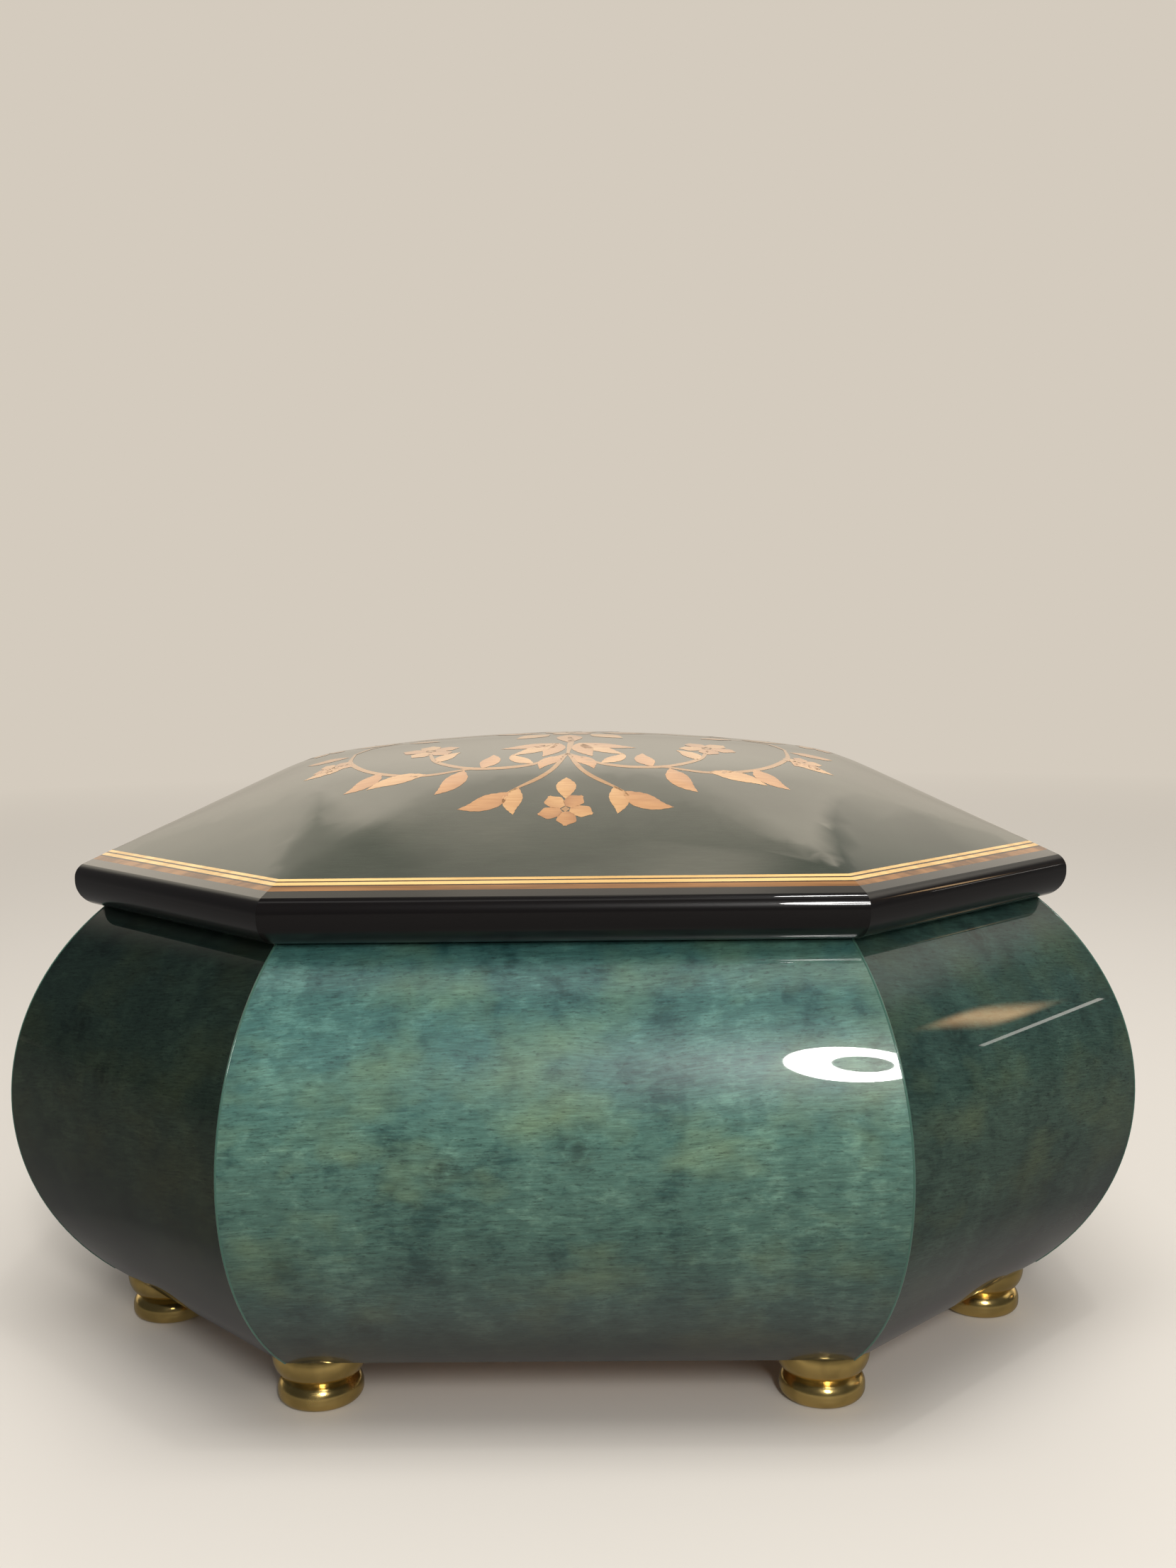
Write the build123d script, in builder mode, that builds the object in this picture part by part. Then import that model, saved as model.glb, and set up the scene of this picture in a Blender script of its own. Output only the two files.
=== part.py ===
from build123d import *
import math
import os

os.makedirs("parts", exist_ok=True)

# Outline of the lid, an elongated octagon, in millimetres
lid_half_width = 118.0
lid_half_depth = 95.5
corner_cut = 55.5

# Heights above the table
foot_height = 13.0
wall_top = 102.7
lid_gap = 0.3

# Bulging wall: one arc about a centre on the side's own section plane
wall_bulge = 15.1
wall_radius = 58.8
wall_centre_height = 57.4
wall_thickness = 6.0

# Domed lid: a facet rises from every edge and bends over into a gently crowned middle
facet_slope = 0.47
facet_length = 50.0
ridge_width = 1.5
ridge_growth = 0.45
shoulder_softness = 0.8
crown_rise = 5.2
crown_spread = 4.0
dome_grid = 3.4
lid_shell = 6.0

# Lid edge and inlay
moulding_width = 7.2
moulding_bottom_radius = 6.2
moulding_land = 0.8
moulding_top_radius = 3.85
moulding_break = 8.0
inlay_inset = 4.0
inlay_depth = 0.8
brown_band = 1.5
dark_line = 0.4
wide_line = 1.0
thin_line = 0.8
lid_frame_width = 33.0
pad_thickness = 7.0
pad_ledge = 7.0
pad_round = 2.4
pad_clearance = 0.3
pad_reveal = 1.2

# Base and feet
base_thickness = 8.0
fit_gap = 0.1
foot_inset = 17.8
foot_disc_radius = 9.4
foot_disc_height = 4.9
foot_neck_radius = 8.0
foot_ball_radius = 10.4
foot_seat_radius = 9.7
foot_screw_radius = 1.25
foot_screw_in_base = 6.5
foot_screw_in_foot = 6.0
screw_clearance = 0.03

# Lined well and its fittings
lining_inset = 19.2
lining_thickness = 2.0
lining_drop = 1.1
lining_joint = 0.1
board_thickness = 3.0
seat_gap = 0.2
music_side_width = 56.8
partition_top = 84.0
raised_floor_height = 48.0
bearer_width = 6.0
bearer_length = 88.0
bearer_left_inset = 9.0
bearer_right_inset = 18.8
divider_top = 84.0
cross_divider_y = 7.5
rear_bin_width = 67.3
front_bin_width = 43.3
ring_bed_height = 21.0
roll_count = 5
roll_height = 13.4
roll_gap = 0.6
soft_gap = 0.3
ledge_width = 4.0
ledge_height = 5.0
ledge_length = 56.0
cover_height = 58.0
cover_thickness = 2.5

# Hinges
hinge_corner_inset = 22.5
hinge_length = 32.0
leaf_thickness = 1.2
leaf_depth = 12.5
leaf_setback = 0.2
knuckle_radius = 2.2
knuckle_gap = 0.15
knuckle_room = 0.35
hinge_pin_radius = 1.1
pin_clearance = 0.05
hinge_pin_inset = 1.8
hinge_screw_radius = 1.0
body_screw_length = 4.0
lid_screw_length = 6.0
hinge_screw_spread = 10.0

# Musical movement
movement_inset = 30.8
barrel_y = -17.0
bedplate_thickness = 3.0
bedplate_left_reach = 19.4
bedplate_right_reach = 19.5
bedplate_y = (-33.0, 36.0)
barrel_lift = 0.4
barrel_height = 11.0
barrel_wall = 1.8
barrel_skin = 1.0
cap_thickness = 1.2
gear_module = 0.4
crown_teeth = 66
pinion_teeth = 22
great_teeth = 48
second_pinion_teeth = 12
worm_wheel_teeth = 24
tooth_backlash = 0.14
tooth_addendum = 0.9
gear_face = 1.2
crown_face = 1.2
worm_pitch_radius = 1.8
worm_core_radius = 1.3
worm_turns = 5
cylinder_radius = 6.5
cylinder_wall = 0.9
cylinder_length = 22.0
arbor_radius = 1.0
winder_radius = 2.0
running_gap = 0.05
tune_rows = 18
pins_per_row = 4
tune_pin_radius = 0.22
tune_pin_height = 0.35
comb_thickness = 0.9
comb_reach = 12.0
comb_tip_gap = 0.5
comb_tooth_gap = 0.35
comb_bed_width = 5.0
screw_head_radius = 2.0
screw_radius = 1.1
bracket_thickness = 1.5
spring_turns = 6
spring_thickness = 0.35
key_span = 22.0
key_thickness = 2.4
key_hub_radius = 3.6
key_clearance = 3.0
fan_reach = 5.0
fan_height = 5.0
fan_blade = 0.5
plate_thickness = 1.4
frame_length = 9.8
fine_arbor = 0.6
bracket_width = 8.0
lever_post_width = 3.8
comb_screw_length = 5.0
stop_arm = 28.0
stop_thickness = 1.2
stop_rod_radius = 1.0
stop_rod_head = 1.7
stop_rod_inset = 8.8
stop_gap = 0.3

# Values that follow from the ones above
tan_mitre = math.tan(math.radians(22.5))
half_front = lid_half_width - corner_cut
half_side = lid_half_depth - corner_cut
lid_bottom = wall_top + lid_gap
base_top = foot_height + base_thickness
well_inset = lining_inset + lining_thickness
well_right = lid_half_width - well_inset
rear_wall_y = lid_half_depth - well_inset
well_length = 2 * rear_wall_y
lining_top = wall_top - lining_drop
floor_top = raised_floor_height + board_thickness
partition_x = music_side_width - well_right
jewellery_x = partition_x + board_thickness / 2 + seat_gap
ring_divider_x = well_right - front_bin_width
bin_divider_x = well_right - rear_bin_width
movement_x = movement_inset - well_right
bedplate_x = (movement_x - bedplate_left_reach, movement_x + bedplate_right_reach)
stop_rod_x = stop_rod_inset - well_right
hinge_x = half_front - hinge_corner_inset

# Section of the lid's edge: a round below, a short land, a round above
edge_widest = lid_bottom + moulding_bottom_radius
land_top = edge_widest + moulding_land
facet_angle = math.degrees(math.atan(facet_slope))
meeting_sweep = math.radians(90 - facet_angle - moulding_break)
meeting_inset = moulding_top_radius * (1 - math.cos(meeting_sweep))
meeting_height = land_top + moulding_top_radius * math.sin(meeting_sweep)
dome_edge_height = meeting_height - facet_slope * meeting_inset
inlay_width = brown_band + 2 * dark_line + wide_line + thin_line
inlay_end = inlay_inset + inlay_width

# Places of the hinges
pin_y = lid_half_depth - hinge_pin_inset
pin_height = wall_top + lid_gap / 2
end_knuckle = (hinge_length - 4 * knuckle_gap) * 0.31
middle_knuckle = hinge_length - 2 * end_knuckle - 2 * knuckle_gap
leaf_front_y = pin_y - leaf_depth
leaf_rear_y = pin_y - knuckle_radius - leaf_setback
pin_plane = Plane(origin=(0, pin_y, pin_height), x_dir=(0, 1, 0), z_dir=(1, 0, 0))
screw_y = (leaf_front_y + leaf_rear_y) / 2
screw_points = [
    (side_x + shift, screw_y)
    for side_x in (-hinge_x, hinge_x)
    for shift in (-hinge_screw_spread, 0, hinge_screw_spread)
]

# Places inside the musical movement
bed_top = base_top + bedplate_thickness
barrel_bottom = bed_top + barrel_lift
barrel_top = barrel_bottom + barrel_height
crown_pitch_radius = gear_module * crown_teeth / 2
barrel_radius = crown_pitch_radius + crown_face / 2 + 0.4
crown_tooth_height = (1.25 + tooth_addendum) * gear_module
flank_slope = math.tan(math.radians(20))
crown_tooth_base = math.pi * gear_module / 2 - tooth_backlash + 2.5 * gear_module * flank_slope
cylinder_height = barrel_top + 1.25 * gear_module + gear_module * pinion_teeth / 2
pinion_middle_y = barrel_y + crown_pitch_radius
near_post_y = barrel_y + barrel_radius + 0.6
cylinder_start_y = near_post_y + bracket_thickness + 0.6
cylinder_middle_y = cylinder_start_y + cylinder_length / 2
great_wheel_y = cylinder_start_y + cylinder_length + 0.6
far_post_y = great_wheel_y + gear_face + 0.9
axis_distance = gear_module * (great_teeth + second_pinion_teeth) / 2
second_x = movement_x - axis_distance * math.sqrt(0.5)
second_height = cylinder_height - axis_distance * math.sqrt(0.5)
worm_x = second_x - gear_module * worm_wheel_teeth / 2 - worm_pitch_radius
worm_y = far_post_y + frame_length / 2
frame_left_x = worm_x - 4
frame_right_x = second_x + 3.5
frame_top = cylinder_height + 2
fan_base = frame_top + 1
lever_pivot_y = far_post_y - lever_post_width / 2 - 0.4
lever_pivot_height = fan_base - 4
lever_post_x = frame_left_x - 0.1
stop_lever_x = lever_post_x - stop_gap - stop_thickness / 2
tail_reach = stop_lever_x + stop_thickness / 2 - stop_rod_x + 1.5
stop_rod_y = lever_pivot_y - stop_arm
comb_tip_x = movement_x + cylinder_radius + tune_pin_height + comb_tip_gap
comb_tail_x = comb_tip_x + comb_reach
comb_bottom = cylinder_height - comb_thickness / 2
comb_screw_points = [
    (comb_tail_x - comb_bed_width / 2, cylinder_middle_y - cylinder_length / 4),
    (comb_tail_x - comb_bed_width / 2, cylinder_middle_y + cylinder_length / 4),
]
movement_screw_points = [
    (bedplate_x[0] + 4, bedplate_y[0] + 4),
    (bedplate_x[1] - 4, bedplate_y[0] + 4),
    (bedplate_x[1] - 4, bedplate_y[1] - 4),
]
thread_half = (math.pi * gear_module / 2 - tooth_backlash) / 2
thread_foot = thread_half + (worm_pitch_radius - worm_core_radius + 0.1) * flank_slope
thread_tip = thread_half - tooth_addendum * gear_module * flank_slope
thread_rise = worm_pitch_radius + tooth_addendum * gear_module - worm_core_radius + 0.1
worm_profile = [(0, -thread_foot), (thread_rise, -thread_tip), (thread_rise, thread_tip), (0, thread_foot)]


def outline(inset):
    """Corners of the lid's octagon, moved inwards by inset on every side."""
    x_front = half_front - inset * tan_mitre
    y_front = lid_half_depth - inset
    x_side = lid_half_width - inset
    y_side = half_side - inset * tan_mitre
    quarter = [(x_side, y_side), (x_front, y_front)]
    right = [(x, -y) for x, y in reversed(quarter)] + quarter
    return right + [(-x, -y) for x, y in right]


def wall_offset(height, radius):
    """How far an arc of the wall stands outside the lid's edge."""
    rise = height - wall_centre_height
    return wall_bulge - wall_radius + math.sqrt(radius**2 - rise**2)


def edge_distances(x, y):
    """Distances from a point to the lid's side, front and corner edges."""
    side = lid_half_width - abs(x)
    front = lid_half_depth - abs(y)
    corner = (half_front + lid_half_depth - abs(x) - abs(y)) / math.sqrt(2)
    return side, front, corner


def dome_height(x, y):
    """Height of the lid's polished top at a point of the plan."""
    nearest, following, _ = sorted(edge_distances(x, y))
    ridge = ridge_width + ridge_growth * max(nearest - inlay_end, 0)
    share = max(ridge - (following - nearest), 0) / ridge
    facet = facet_slope * (nearest - share**2 * ridge / 4)
    shoulder_x = lid_half_width - facet_length
    shoulder_y = lid_half_depth - facet_length
    spread = ((x / shoulder_x) ** 2 + (y / shoulder_y) ** 2) / crown_spread
    fall = (1 - math.exp(-spread)) / (1 - math.exp(-1 / crown_spread))
    crown = facet_slope * facet_length + crown_rise * (1 - fall)
    lower = min(facet, crown)
    rounding = math.log1p(math.exp(-abs(facet - crown) / shoulder_softness))
    return dome_edge_height + lower - shoulder_softness * rounding


def side_frame(name, angle, distance_point):
    """Section plane of one side: x runs outwards, y runs up."""
    nx = math.cos(math.radians(angle))
    ny = math.sin(math.radians(angle))
    return {
        "name": name,
        "plane": Plane(origin=(*distance_point, 0), x_dir=(nx, ny, 0), z_dir=(ny, -nx, 0)),
        "angle": angle,
    }


corner_mid_x = (half_front + lid_half_width) / 2
corner_mid_y = (half_side + lid_half_depth) / 2
sides = [
    side_frame("right", 0, (lid_half_width, 0)),
    side_frame("rear_right", 45, (corner_mid_x, corner_mid_y)),
    side_frame("rear", 90, (0, lid_half_depth)),
    side_frame("rear_left", 135, (-corner_mid_x, corner_mid_y)),
    side_frame("left", 180, (-lid_half_width, 0)),
    side_frame("front_left", 225, (-corner_mid_x, -corner_mid_y)),
    side_frame("front", 270, (0, -lid_half_depth)),
    side_frame("front_right", 315, (corner_mid_x, -corner_mid_y)),
]
long_side = 2 * max(half_front, half_side)


def mitre_planes(side_index):
    """The two upright planes that cut a side's pieces at its corners."""
    corners = outline(0)
    starts = {0: 1, 45: 2, 90: 3, 135: 4, 180: 5, 225: 6, 270: 7, 315: 0}
    angle = sides[side_index]["angle"]
    first = corners[starts[angle]]
    last = corners[(starts[angle] + 1) % 8]
    before = math.radians(angle - 22.5 - 90)
    after = math.radians(angle + 22.5 + 90)
    return (
        Plane(origin=(*first, 0), z_dir=(math.cos(before), math.sin(before), 0)),
        Plane(origin=(*last, 0), z_dir=(math.cos(after), math.sin(after), 0)),
    )


# The solid under the polished dome, which trims the lid's board
dome_top = lid_bottom + 60
columns = round(2 * (lid_half_width + 2) / dome_grid)
rows = round(2 * (lid_half_depth + 2) / dome_grid)
grid_xs = [-(lid_half_width + 2) + 2 * (lid_half_width + 2) * i / columns for i in range(columns + 1)]
grid_ys = [-(lid_half_depth + 2) + 2 * (lid_half_depth + 2) * j / rows for j in range(rows + 1)]
dome_points = [[(x, y, dome_height(x, y)) for y in grid_ys] for x in grid_xs]
dome_face = Face.make_surface_from_array_of_points(dome_points, tol=0.02)
under_dome = Solid.extrude(dome_face, Vector(0, 0, -45))
if under_dome.volume < 0:
    under_dome = -under_dome


# Bulging walls, each one bent board mitred to its neighbours
for index, side in enumerate(sides):
    first_cut, last_cut = mitre_planes(index)
    inner_radius = wall_radius - wall_thickness
    with BuildPart() as wall_panel:
        with BuildSketch(side["plane"]):
            with BuildLine():
                outer_foot = (wall_offset(foot_height, wall_radius), foot_height)
                outer_rim = (wall_offset(wall_top, wall_radius), wall_top)
                inner_foot = (wall_offset(foot_height, inner_radius), foot_height)
                inner_rim = (wall_offset(wall_top, inner_radius), wall_top)
                ThreePointArc(outer_foot, (wall_bulge, wall_centre_height), outer_rim)
                Line(outer_rim, inner_rim)
                inner_middle = (wall_bulge - wall_thickness, wall_centre_height)
                ThreePointArc(inner_rim, inner_middle, inner_foot)
                Line(inner_foot, outer_foot)
            make_face()
        extrude(amount=long_side, both=True)
        split(bisect_by=first_cut, keep=Keep.BOTTOM)
        split(bisect_by=last_cut, keep=Keep.BOTTOM)
        if side["name"] == "rear":
            mortise_front = lid_half_depth - hinge_pin_inset - leaf_depth - fit_gap
            with BuildSketch(Plane.XY.offset(wall_top)):
                with Locations((-hinge_x, mortise_front), (hinge_x, mortise_front)):
                    Rectangle(
                        hinge_length + 2 * fit_gap,
                        leaf_depth + hinge_pin_inset,
                        align=(Align.CENTER, Align.MIN),
                    )
            extrude(amount=-(leaf_thickness + fit_gap / 2), mode=Mode.SUBTRACT)
            with BuildSketch(Plane.XY.offset(wall_top)):
                with Locations(*screw_points):
                    Circle(hinge_screw_radius + screw_clearance)
            extrude(amount=-(body_screw_length + fit_gap), mode=Mode.SUBTRACT)
    wall_panel.part.label = side["name"] + "_wall"
    export_step(wall_panel.part, "parts/" + wall_panel.part.label + ".step")


# Base board, bevelled to lie against the inside of the walls
with BuildPart() as base_board:
    inner_radius = wall_radius - wall_thickness
    with BuildSketch(Plane.XY.offset(foot_height)):
        Polygon(*outline(fit_gap - wall_offset(foot_height, inner_radius)), align=None)
    with BuildSketch(Plane.XY.offset(base_top)):
        Polygon(*outline(fit_gap - wall_offset(base_top, inner_radius)), align=None)
    loft(ruled=True)
    with BuildSketch(Plane.XY.offset(foot_height)):
        with Locations(*outline(foot_inset)):
            Circle(foot_screw_radius + screw_clearance)
    extrude(amount=foot_screw_in_base + fit_gap, mode=Mode.SUBTRACT)
    with BuildSketch(Plane.XY.offset(foot_height)):
        with Locations((movement_x, barrel_y)):
            Circle(winder_radius + 2)
        with Locations(*movement_screw_points):
            Circle(screw_radius + screw_clearance)
    extrude(amount=base_thickness, mode=Mode.SUBTRACT)
base_board.part.label = "base_board"
export_step(base_board.part, "parts/base_board.step")

# Turned bun feet, one under each corner
foot_names = (
    "front_right", "right_front", "right_rear", "rear_right",
    "rear_left", "left_rear", "left_front", "front_left",
)
for foot_name, (x, y) in zip(foot_names, outline(foot_inset)):
    with BuildPart() as foot:
        with BuildSketch(Plane.XZ):
            with BuildLine():
                Line((0, 0), (foot_disc_radius - 1.2, 0))
                disc_middle = foot_disc_height * 0.45
                disc_bulge = (foot_disc_radius, disc_middle)
                disc_shoulder = (foot_neck_radius + 0.5, foot_disc_height)
                ThreePointArc(
                    (foot_disc_radius - 1.2, 0),
                    (foot_disc_radius - 0.25, disc_middle * 0.4),
                    disc_bulge,
                )
                ThreePointArc(
                    disc_bulge,
                    (foot_disc_radius - 0.2, foot_disc_height * 0.78),
                    disc_shoulder,
                )
                groove_floor = (foot_neck_radius, foot_disc_height + 0.45)
                Line(disc_shoulder, groove_floor)
                ball_start = (foot_neck_radius + 0.4, foot_disc_height + 0.9)
                Line(groove_floor, ball_start)
                ball_middle_height = foot_disc_height + 0.56 * (foot_height - foot_disc_height)
                ThreePointArc(
                    ball_start, (foot_ball_radius, ball_middle_height), (foot_seat_radius, foot_height)
                )
                Line((foot_seat_radius, foot_height), (0, foot_height))
                Line((0, foot_height), (0, 0))
            make_face()
        revolve(axis=Axis.Z)
        with BuildSketch(Plane.XY.offset(foot_height)):
            Circle(foot_screw_radius + screw_clearance)
        extrude(amount=-(foot_screw_in_foot + fit_gap), mode=Mode.SUBTRACT)
    placed_foot = foot.part.moved(Location((x, y, 0)))
    placed_foot.label = "foot_" + foot_name
    export_step(placed_foot, "parts/" + placed_foot.label + ".step")

# Studs that hold the feet
with BuildPart() as foot_screws:
    with BuildSketch(Plane.XY.offset(foot_height - foot_screw_in_foot)):
        with Locations(*outline(foot_inset)):
            Circle(foot_screw_radius)
    extrude(amount=foot_screw_in_foot + foot_screw_in_base)
foot_screws.part.label = "foot_screws"
export_step(foot_screws.part, "parts/foot_screws.step")

# Velvet-covered boards that line the well, one against each wall
with BuildPart() as well_lining:
    for index in range(8):
        outer_corners = outline(lining_inset)
        inner_corners = outline(well_inset)
        following = (index + 1) % 8
        first_outer, last_outer = outer_corners[index], outer_corners[following]
        first_inner, last_inner = inner_corners[index], inner_corners[following]
        run = math.hypot(last_outer[0] - first_outer[0], last_outer[1] - first_outer[1])
        shift_x = (last_outer[0] - first_outer[0]) / run * lining_joint / 2
        shift_y = (last_outer[1] - first_outer[1]) / run * lining_joint / 2
        with BuildSketch(Plane.XY.offset(base_top)):
            Polygon(
                (first_outer[0] + shift_x, first_outer[1] + shift_y),
                (last_outer[0] - shift_x, last_outer[1] - shift_y),
                (last_inner[0] - shift_x, last_inner[1] - shift_y),
                (first_inner[0] + shift_x, first_inner[1] + shift_y),
                align=None,
            )
        extrude(amount=lining_top - base_top)
well_lining.part.label = "well_lining"
export_step(well_lining.part, "parts/well_lining.step")

# Battens under the raised floor, and two ledges for the cover of the movement
bearer_left_x = partition_x + bearer_left_inset
bearer_right_x = well_right - bearer_right_inset
bearer_xs = (bearer_left_x, (bearer_left_x + bearer_right_x) / 2, bearer_right_x)
ledge_xs = (partition_x - (board_thickness + ledge_width) / 2, -well_right + ledge_width / 2)
with BuildPart() as battens:
    with BuildSketch(Plane.XY.offset(base_top)):
        with Locations(*[(x, 0) for x in bearer_xs]):
            Rectangle(bearer_width, bearer_length)
    extrude(amount=raised_floor_height - base_top)
    with BuildSketch(Plane.XY.offset(cover_height - ledge_height)):
        with Locations(*[(x, 0) for x in ledge_xs]):
            Rectangle(ledge_width, ledge_length)
    extrude(amount=ledge_height)
battens.part.label = "battens"
export_step(battens.part, "parts/battens.step")

# Raised floor of the jewellery side
with BuildPart() as raised_floor:
    with BuildSketch(Plane.XY.offset(raised_floor_height)):
        Polygon(*outline(well_inset + seat_gap), align=None)
        with Locations((jewellery_x, 0)):
            Rectangle(well_right * 2, well_length, align=(Align.MIN, Align.CENTER), mode=Mode.INTERSECT)
    extrude(amount=board_thickness)
raised_floor.part.label = "raised_floor"
export_step(raised_floor.part, "parts/raised_floor.step")

# Partition between the musical movement and the jewellery side
with BuildPart() as music_partition:
    with BuildSketch(Plane.XY.offset(base_top)):
        Polygon(*outline(well_inset + seat_gap), align=None)
        with Locations((partition_x, 0)):
            Rectangle(board_thickness, well_length, mode=Mode.INTERSECT)
    extrude(amount=partition_top - base_top)
music_partition.part.label = "music_partition"
export_step(music_partition.part, "parts/music_partition.step")

# Dividers of the jewellery side: one across, one behind it and one before it
with BuildPart() as dividers:
    with BuildSketch(Plane.XY.offset(floor_top)):
        Polygon(*outline(well_inset + seat_gap), align=None)
        with BuildSketch(mode=Mode.PRIVATE) as divider_plan:
            with Locations((jewellery_x, cross_divider_y)):
                Rectangle(well_right * 2, board_thickness, align=(Align.MIN, Align.CENTER))
            with Locations((bin_divider_x, cross_divider_y + board_thickness / 2 + seat_gap)):
                Rectangle(board_thickness, well_length, align=(Align.CENTER, Align.MIN))
            with Locations((ring_divider_x, cross_divider_y - board_thickness / 2 - seat_gap)):
                Rectangle(board_thickness, well_length, align=(Align.CENTER, Align.MAX))
        add(divider_plan.sketch, mode=Mode.INTERSECT)
    extrude(amount=divider_top - floor_top)
dividers.part.label = "dividers"
export_step(dividers.part, "parts/dividers.step")

# Foam bed and padded rolls that hold rings
bed_left = jewellery_x + soft_gap
bed_right = ring_divider_x - board_thickness / 2 - soft_gap
bed_front = -(rear_wall_y - seat_gap - soft_gap)
bed_rear = cross_divider_y - board_thickness / 2 - soft_gap
bed_middle = ((bed_left + bed_right) / 2, (bed_front + bed_rear) / 2)
with BuildPart() as ring_bed:
    with BuildSketch(Plane.XY.offset(floor_top)):
        with Locations(bed_middle):
            Rectangle(bed_right - bed_left, bed_rear - bed_front)
    extrude(amount=ring_bed_height)
ring_bed.part.label = "ring_bed"
export_step(ring_bed.part, "parts/ring_bed.step")

roll_pitch = (bed_rear - bed_front) / roll_count
roll_width = roll_pitch - roll_gap
roll_base = floor_top + ring_bed_height
with BuildPart() as ring_rolls:
    with BuildSketch(Plane.YZ.offset(bed_left)):
        for number in range(roll_count):
            roll_y = bed_front + roll_pitch * (number + 0.5)
            half_width = roll_width / 2
            with BuildLine():
                base_left = (roll_y - half_width * 0.72, roll_base)
                base_right = (roll_y + half_width * 0.72, roll_base)
                flank_left = (roll_y - half_width, roll_base + roll_height * 0.42)
                flank_right = (roll_y + half_width, roll_base + roll_height * 0.42)
                Line(base_left, base_right)
                lower_bow = roll_base + roll_height * 0.17
                ThreePointArc(base_right, (roll_y + half_width * 0.93, lower_bow), flank_right)
                ThreePointArc(flank_right, (roll_y, roll_base + roll_height), flank_left)
                ThreePointArc(flank_left, (roll_y - half_width * 0.93, lower_bow), base_left)
            make_face()
    extrude(amount=bed_right - bed_left)
ring_rolls.part.label = "ring_rolls"
export_step(ring_rolls.part, "parts/ring_rolls.step")

# Clear cover over the movement
music_right = partition_x - board_thickness / 2
with BuildPart() as music_cover:
    with BuildSketch(Plane.XY.offset(cover_height)):
        Polygon(*outline(well_inset + seat_gap), align=None)
        with Locations((music_right - seat_gap, 0)):
            Rectangle(well_right * 2, well_length, align=(Align.MAX, Align.CENTER), mode=Mode.INTERSECT)
        with Locations((stop_rod_x, stop_rod_y)):
            Circle(stop_rod_radius + running_gap, mode=Mode.SUBTRACT)
    extrude(amount=cover_thickness)
music_cover.part.label = "music_cover"
export_step(music_cover.part, "parts/music_cover.step")


def hinge_leaves(height, spans):
    """Both hinges' leaves at one height, with knuckles over the given spans."""
    with BuildPart() as leaves:
        for side_x in (-hinge_x, hinge_x):
            with BuildSketch(Plane.XY.offset(height)):
                with Locations((side_x, (leaf_front_y + leaf_rear_y) / 2)):
                    Rectangle(hinge_length, leaf_rear_y - leaf_front_y)
                for start, length in spans:
                    with Locations((side_x + start + length / 2, (leaf_rear_y + pin_y) / 2)):
                        Rectangle(length, pin_y - leaf_rear_y)
            extrude(amount=leaf_thickness)
            for start, length in spans:
                with BuildSketch(pin_plane.offset(side_x + start)):
                    Circle(knuckle_radius)
                extrude(amount=length)
            with BuildSketch(pin_plane.offset(side_x - hinge_length / 2)):
                Circle(hinge_pin_radius + pin_clearance)
            extrude(amount=hinge_length, mode=Mode.SUBTRACT)
        with BuildSketch(Plane.XY.offset(height)):
            with Locations(*screw_points):
                Circle(hinge_screw_radius + screw_clearance)
        extrude(amount=leaf_thickness, mode=Mode.SUBTRACT)
    return leaves.part


def hinge_room():
    """Space the lid needs for both hinges: leaf mortises and knuckle channels."""
    mortise_front = leaf_front_y - fit_gap
    with BuildPart() as room:
        for side_x in (-hinge_x, hinge_x):
            with BuildSketch(Plane.XY.offset(lid_bottom - 1)):
                with Locations((side_x, mortise_front)):
                    Rectangle(
                        hinge_length + 2 * fit_gap,
                        pin_y - mortise_front,
                        align=(Align.CENTER, Align.MIN),
                    )
            extrude(amount=leaf_thickness + fit_gap / 2 + 1)
            with BuildSketch(pin_plane.offset(side_x - hinge_length / 2 - knuckle_room)):
                Circle(knuckle_radius + knuckle_room)
            extrude(amount=hinge_length + 2 * knuckle_room)
    return room.part


end_spans = [(-hinge_length / 2, end_knuckle), (hinge_length / 2 - end_knuckle, end_knuckle)]
middle_span = [(-middle_knuckle / 2, middle_knuckle)]

# Hinges: leaves let into the rear wall and the lid, with knuckles behind them
with BuildPart() as hinge_body_leaves:
    add(hinge_leaves(wall_top - leaf_thickness, end_spans))
hinge_body_leaves.part.label = "hinge_body_leaves"
export_step(hinge_body_leaves.part, "parts/hinge_body_leaves.step")

with BuildPart() as hinge_pins:
    for side_x in (-hinge_x, hinge_x):
        with BuildSketch(pin_plane.offset(side_x - hinge_length / 2)):
            Circle(hinge_pin_radius)
        extrude(amount=hinge_length)
hinge_pins.part.label = "hinge_pins"
export_step(hinge_pins.part, "parts/hinge_pins.step")

with BuildPart() as hinge_body_screws:
    with BuildSketch(Plane.XY.offset(wall_top)):
        with Locations(*screw_points):
            Circle(hinge_screw_radius)
    extrude(amount=-body_screw_length)
hinge_body_screws.part.label = "hinge_body_screws"
export_step(hinge_body_screws.part, "parts/hinge_body_screws.step")

with BuildPart() as hinge_lid_leaves:
    add(hinge_leaves(lid_bottom, middle_span))
hinge_lid_leaves.part.label = "hinge_lid_leaves"
export_step(hinge_lid_leaves.part, "parts/hinge_lid_leaves.step")

with BuildPart() as hinge_lid_screws:
    with BuildSketch(Plane.XY.offset(lid_bottom)):
        with Locations(*screw_points):
            Circle(hinge_screw_radius)
    extrude(amount=lid_screw_length)
hinge_lid_screws.part.label = "hinge_lid_screws"
export_step(hinge_lid_screws.part, "parts/hinge_lid_screws.step")


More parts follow.
